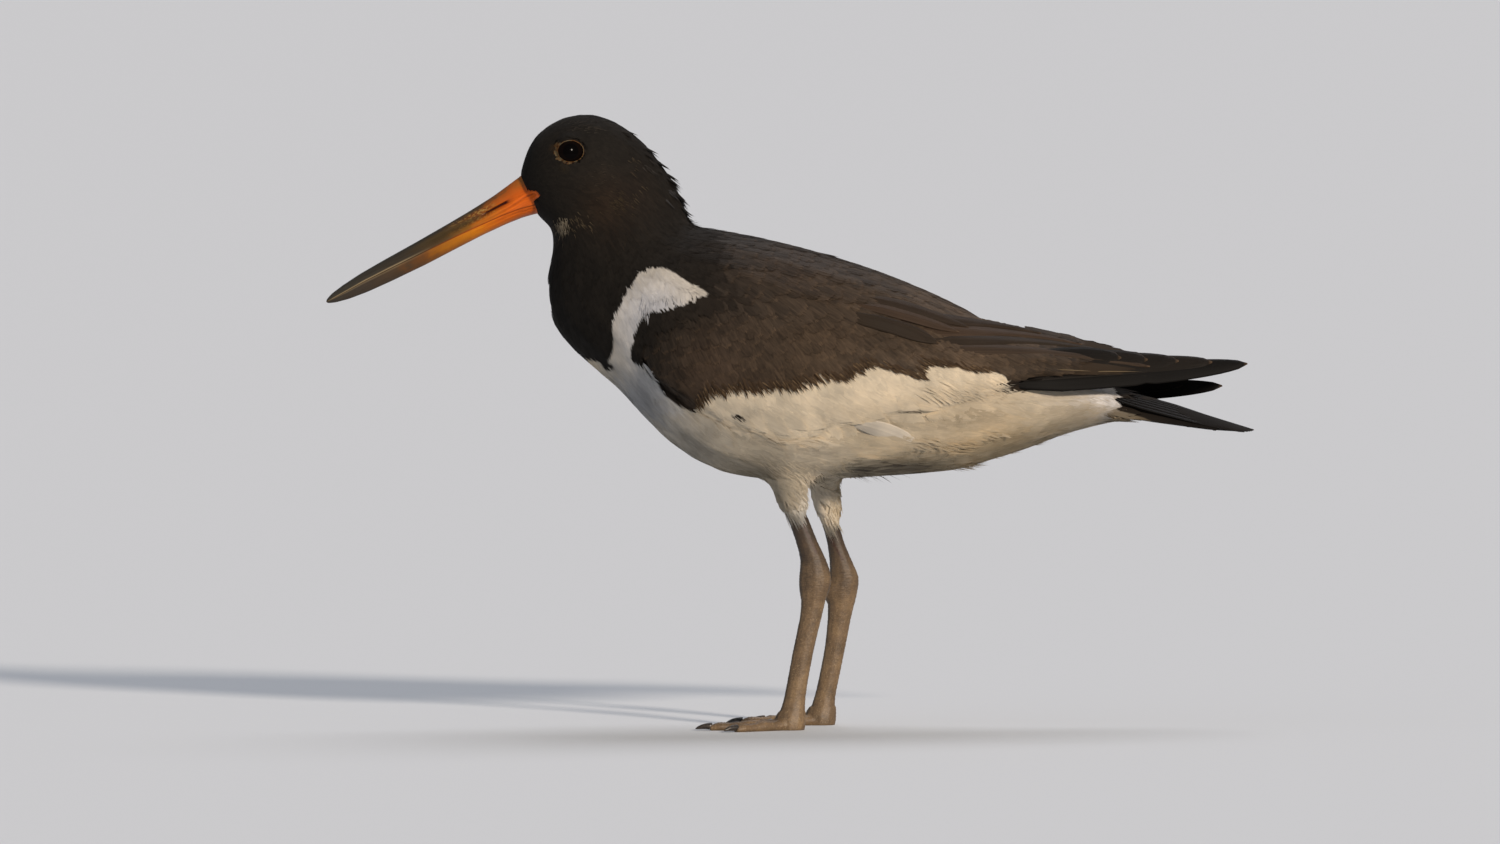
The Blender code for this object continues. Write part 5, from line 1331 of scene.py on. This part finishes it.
def lid(name, side):
    """A rim of bare skin: it rises from the ball to a thin crest and runs out under the feathers round it."""
    columns = len(LID_PROFILE)
    places, faces, notes, bare = [], [], [], []
    rough = np.random.default_rng(75).normal(0, 0.025, LID_STEPS)
    rough = (rough + np.roll(rough, 1) + np.roll(rough, 2)) / 1.7
    for step in range(LID_STEPS):
        around = math.tau * step / LID_STEPS
        ray = np.array((math.cos(around), math.sin(around)))
        edge = ray * np.array(EYE_OPENING)
        front, under = (max(0, math.cos(around - math.radians(angle))) for angle in (FRONT_PATCH, LOWER_PATCH))
        for column, (beyond, lift) in enumerate(LID_PROFILE):
            patch = front ** 3 * smoothstep(2.6, 1.2, beyond) + 0.5 * under ** 6 * smoothstep(1.7, 0.9, beyond)
            # The inner wall that runs down to the ball is painted near black as shade in the hollow, except where
            # the front patch reaches it.
            bare.append(1.0 if lift > -0.1 and beyond < 0.2 else min(1, patch))
            if 0.5 < beyond < 2.3:
                lift -= 0.1 * (1 - bare[-1])
            flat = edge + ray * (beyond + (rough[step] if beyond < 0.5 else 0))
            probe = edge + ray * max(beyond, 1.3)
            hit = SKIN_TREE.ray_cast(Vector((EYE.x + probe[0] * MM, RAY_START * side, EYE.z + probe[1] * MM)),
                                     Vector((0, -side, 0)))[0]
            reach = min(1, np.linalg.norm(flat) / EYE_RADII[0])
            ball = EYE.y / MM + EYE_RADII[1] * math.sqrt(1 - reach ** 2)
            out = max(abs(hit.y) / MM + 0.05, ball + 0.12) + lift
            places.append((EYE.x + flat[0] * MM, side * out * MM, EYE.z + flat[1] * MM))
            notes.append((flat[0], out, flat[1]))
            here, there = step * columns + column, step * columns + (column + 1) % columns
            ahead = columns * ((step + 1) % LID_STEPS - step)
            face = (here, here + ahead, there + ahead, there)
            faces.append(face if side > 0 else face[::-1])
    mesh = bpy.data.meshes.new(name)
    mesh.from_pydata(places, [], faces)
    store(mesh, place=notes, bare=bare)
    return shown(name, smoothed(mesh, LID_SKIN))


EYE_GLASS, LID_SKIN = eye_glass(), lid_skin()
for side_name, side in SIDES.items():
    ball = eyeball("eyeball_" + side_name, side)
    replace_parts(ball, "eye_" + side_name)
    rim = lid("eyelid_" + side_name, side)
    for piece, slot in ((ball, "eye_gloss"), (rim, "orange_bill")):
        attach(piece, "root")


# ------------------------------------------------------------
# The legs: dull greyish brown skin over bone and tendon, from the bare part over the ankle to the toes. It is
# covered with small round scales, and with a row of cross scales along the top of each toe.
LEG_CELL, LEG_GROWTH, LEG_SMOOTHING = 0.42 * MM, 0.12 * MM, 3
# Each toe: its length in mm, and how far it turns outwards from straight ahead in degrees.
TOES = {"inner": (22, -26), "middle": (31, 4), "outer": (26, 34)}
FOOT_MIDDLE = {"left": (-1.6, -18.0), "right": (12.4, 18.0)}
# A dark line of painted shade where the groove beside each tendon lies, as the skin has no groove cut in it: its
# upper and lower end as x and z in mm, and how wide it is.
TENDON_GROOVE_SHADE = {"left": ((3.6, 80), (8.8, 69)), "right": ((14.5, 76), (21, 65))}
GROOVE_WIDTH = 0.42
# Where the front of the right ankle bulges as it bends: x, z, half height and how far out, in mm.
BULGES = {"right": (15.5, 52.5, 2.8, 1.5)}


def scaled_skin_tree():
    """Raises round scales over the skin, and cross scales along the toes, by moving its points outward."""
    tree, given = new_tree("leg scales", {
        "Geometry": "Geometry", "Scale size": "Float", "Scale height": "Float", "Cross scale": "Float",
        "Cross height": "Float", "Material": "Material"})
    toe, down, free = (add(tree, "InputNamedAttribute", name, data_type="FLOAT")
                       for name in ("toe", "down_the_toe", "free"))
    cells = add(tree, "VectorMath MULTIPLY", add(tree, "InputPosition"), (1.0, 1.0, 1.35))
    cells = add(tree, "TexVoronoi", {
        "Vector": cells, "Scale": add(tree, "Math DIVIDE", 1.0, given["Scale size"]), "Randomness": 0.75},
        feature="DISTANCE_TO_EDGE", output="Distance")
    dome = add(tree, "MapRange", cells, 0.0, 0.22, interpolation_type="SMOOTHSTEP")
    phase = add(tree, "Math FRACT", add(tree, "Math DIVIDE", down, given["Cross scale"]))
    step = add(tree, "Math SUBTRACT", add(tree, "Math MULTIPLY", phase, 2.0), 1.0)
    step = add(tree, "Math SUBTRACT", 1.0, add(tree, "Math POWER", add(tree, "Math ABSOLUTE", step), 6.0))
    scales = add(tree, "Math MULTIPLY", add(tree, "Math MULTIPLY", dome, given["Scale height"]),
                 add(tree, "Math SUBTRACT", 1.0, toe))
    cross = add(tree, "Math MULTIPLY", add(tree, "Math MULTIPLY", step, given["Cross height"]), toe)
    lift = add(tree, "Math MULTIPLY", add(tree, "Math ADD", scales, cross), free)
    moved = add(tree, "SetPosition", given["Geometry"], None, None,
                add(tree, "VectorMath SCALE", add(tree, "InputNormal"), lift))
    moved = add(tree, "StoreNamedAttribute", moved, None, "dome", dome)
    moved = add(tree, "SetMaterial", add(tree, "SetShadeSmooth", moved), None, given["Material"])
    add(tree, "GroupOutput", moved)
    return tree


def leg_leather():
    """Dull greyish brown scaled skin: pale worn scale tops with flecks, dusky gaps, darker over the ankle."""
    material, tree = blank_material("scaled greyish brown leg skin")
    up, dome, ankle, groove = (add(tree, "Attribute", attribute_name=name, output="Fac")
                               for name in ("up", "dome", "ankle", "groove"))
    place = add(tree, "TexCoord", output="Object")
    # The clouds are about 6 mm across, and the grain 0.4 mm.
    cloud = add(tree, "TexNoise", place, 160.0, 4.0, output="Fac")
    fine = add(tree, "TexNoise", place, 2300.0, 3.0, output="Fac")
    # The skin over the ankle is finely creased across, and a dark reddish line of painted shade runs down beside
    # the tendon, where a groove lies.
    creases = add(tree, "Mapping", {"Vector": place, "Scale": (420.0, 420.0, 2300.0)})
    creases = add(tree, "TexNoise", creases, 1.0, 2.0, output="Fac")
    fleck = add(tree, "Math MULTIPLY", add(tree, "MapRange", fine, 0.58, 0.72),
                add(tree, "MapRange", up, 56.0, 44.0, 0.1, 0.42))
    crease = add(tree, "Math MULTIPLY", add(tree, "MapRange", creases, 0.5, 0.36, 0.0, 0.22), ankle)
    colour, shank = (add(tree, "ValToRGB", cloud, stops=stops) for stops in (
        [(.3, "#52412D"), (.5, "#645039"), (.7, "#776145")], [(.3, "#2A2019"), (.52, "#33281D"), (.72, "#3D2E20")]))
    for share, over in (
            (add(tree, "MapRange", up, 50.0, 76.0), shank), (fleck, linear("#AC9872")),
            (add(tree, "MapRange", dome, 0.5, 0.0, 0.0, 0.3), linear("#2B231B")), (crease, linear("#211912")),
            (groove, linear("#351B12"))):
        colour = add(tree, "Mix", share, colour, over, data_type="RGBA")
    bump = add(tree, "Bump", {"Height": fine, "Strength": 0.35, "Distance": 0.0002})
    bump = add(tree, "Bump", {"Height": add(tree, "Math MULTIPLY", creases, ankle), "Strength": 0.5,
                              "Distance": 0.0003, "Normal": bump})
    add(tree, "OutputMaterial", add(tree, "BsdfPrincipled", {
        "Base Color": colour, "Roughness": 0.55, "Specular IOR Level": 0.4, "Normal": bump}))
    return material


def down_the_toes(places, side_name):
    """For each toe: its length, the way across it, and how far down and beside it each place lies, in mm."""
    for length, degrees in TOES.values():
        angle = math.radians(degrees) * -SIDES[side_name]
        heading = np.array((-math.cos(angle), -math.sin(angle)))
        across = np.array((-heading[1], heading[0]))
        away = places[:, :2] - np.array(FOOT_MIDDLE[side_name])
        yield length, heading, across, away @ heading, away @ across


LEG_SCALES, LEG_LEATHER = scaled_skin_tree(), leg_leather()
for side_name in SIDES:
    nodes = ["shank_" + side_name, "tarsus_" + side_name, "foot_" + side_name]
    form = one_surface("form_leg_" + side_name, nodes, LEG_CELL, LEG_GROWTH, LEG_SMOOTHING)
    mesh = form.data
    places = read_vectors(mesh) / MM
    if side_name in BULGES:
        x, z, height, out = BULGES[side_name]
        places[:, 0] -= out * np.exp(-((places[:, 2] - z) / height) ** 2) * smoothstep(x + 4, x, places[:, 0])
    nearest, down = np.full(len(places), 99.0), np.zeros(len(places))
    for length, heading, across, forward, beside in down_the_toes(places, side_name):
        down = np.where(np.abs(beside) < nearest, forward, down)
        nearest = np.minimum(nearest, np.abs(beside) + np.where(forward < 4, 99, 0))
    # The soles are flat on the floor, and each toe narrows to its end, where the claw is set.
    places[:, 2] = np.maximum(places[:, 2], 0)
    for length, heading, across, forward, beside in down_the_toes(places, side_name):
        end = smoothstep(length - 3.5, length + 0.5, forward) * (np.abs(beside) < 3) * (places[:, 2] < 7)
        places[:, :2] -= (0.3 * end * beside)[:, None] * across
        places[:, 2] *= 1 - 0.25 * end
    mesh.vertices.foreach_set("co", (places * MM).ravel())
    up = places[:, 2]
    start, end = np.array(TENDON_GROOVE_SHADE[side_name], float)
    share = np.clip((places[:, [0, 2]] - start) @ (end - start) / ((end - start) @ (end - start)), 0, 1)
    gap = np.linalg.norm(places[:, [0, 2]] - start - share[:, None] * (end - start), axis=1)
    store(mesh, down_the_toe=down, up=up, free=smoothstep(0.1, 0.8, up),
          toe=smoothstep(2.6, 2.0, nearest) * smoothstep(7, 5, up) * smoothstep(5, 8, down),
          ankle=smoothstep(44, 54, up) * smoothstep(76, 66, up), groove=0.8 * np.exp(-(gap / GROOVE_WIDTH) ** 2))
    # The small scales are about 0.8 mm across, and the cross scales 1.3 mm apart.
    leg = grown("leg_" + side_name, mesh, LEG_SCALES, {
        "Scale size": 0.8 * MM, "Scale height": 0.11 * MM, "Cross scale": 1.3, "Cross height": 0.2 * MM,
        "Material": LEG_LEATHER})
    bpy.data.objects.remove(form)
    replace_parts(leg, *nodes)
    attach(leg, "root")


# ------------------------------------------------------------
# The claws: six short blunt claws of blackish horn, finely lined in paler browns. Each is set in the end of its
# toe, and its base reaches back into it.
CLAW_REACH = 1.6
claw_nodes = [f"claw_{toe}_{side_name}" for toe in TOES for side_name in SIDES]
claws = modified(merged_nodes("claws", claw_nodes), ("SUBSURF", {"levels": 2, "render_levels": 2}))
places = read_vectors(claws.data) / MM
for side_name in SIDES:
    for length, heading, across, forward, beside in down_the_toes(places, side_name):
        base = smoothstep(length + 3.5, length, forward) * (np.abs(beside) < 3) * (forward > length - 3)
        places[:, :2] -= CLAW_REACH * base[:, None] * heading
claws.data.vertices.foreach_set("co", (places * MM).ravel())
# The lines are drawn about a millimetre apart, as the real ones are too fine to show.
CLAW_HORN, tree = blank_material("blackish claw horn")
lines = add(tree, "TexNoise", add(tree, "TexCoord", output="Object"), 900.0, 3.0, output="Fac")
colour = add(tree, "ValToRGB", lines, stops=[(.3, "#171310"), (.55, "#2C241D"), (.75, "#4A3D30")])
bump = add(tree, "Bump", {"Height": lines, "Strength": 0.3, "Distance": 0.0001})
add(tree, "OutputMaterial", add(tree, "BsdfPrincipled", {"Base Color": colour, "Roughness": 0.4, "Normal": bump}))
smoothed(claws.data, CLAW_HORN)
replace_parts(claws, *claw_nodes)
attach(claws, "root")
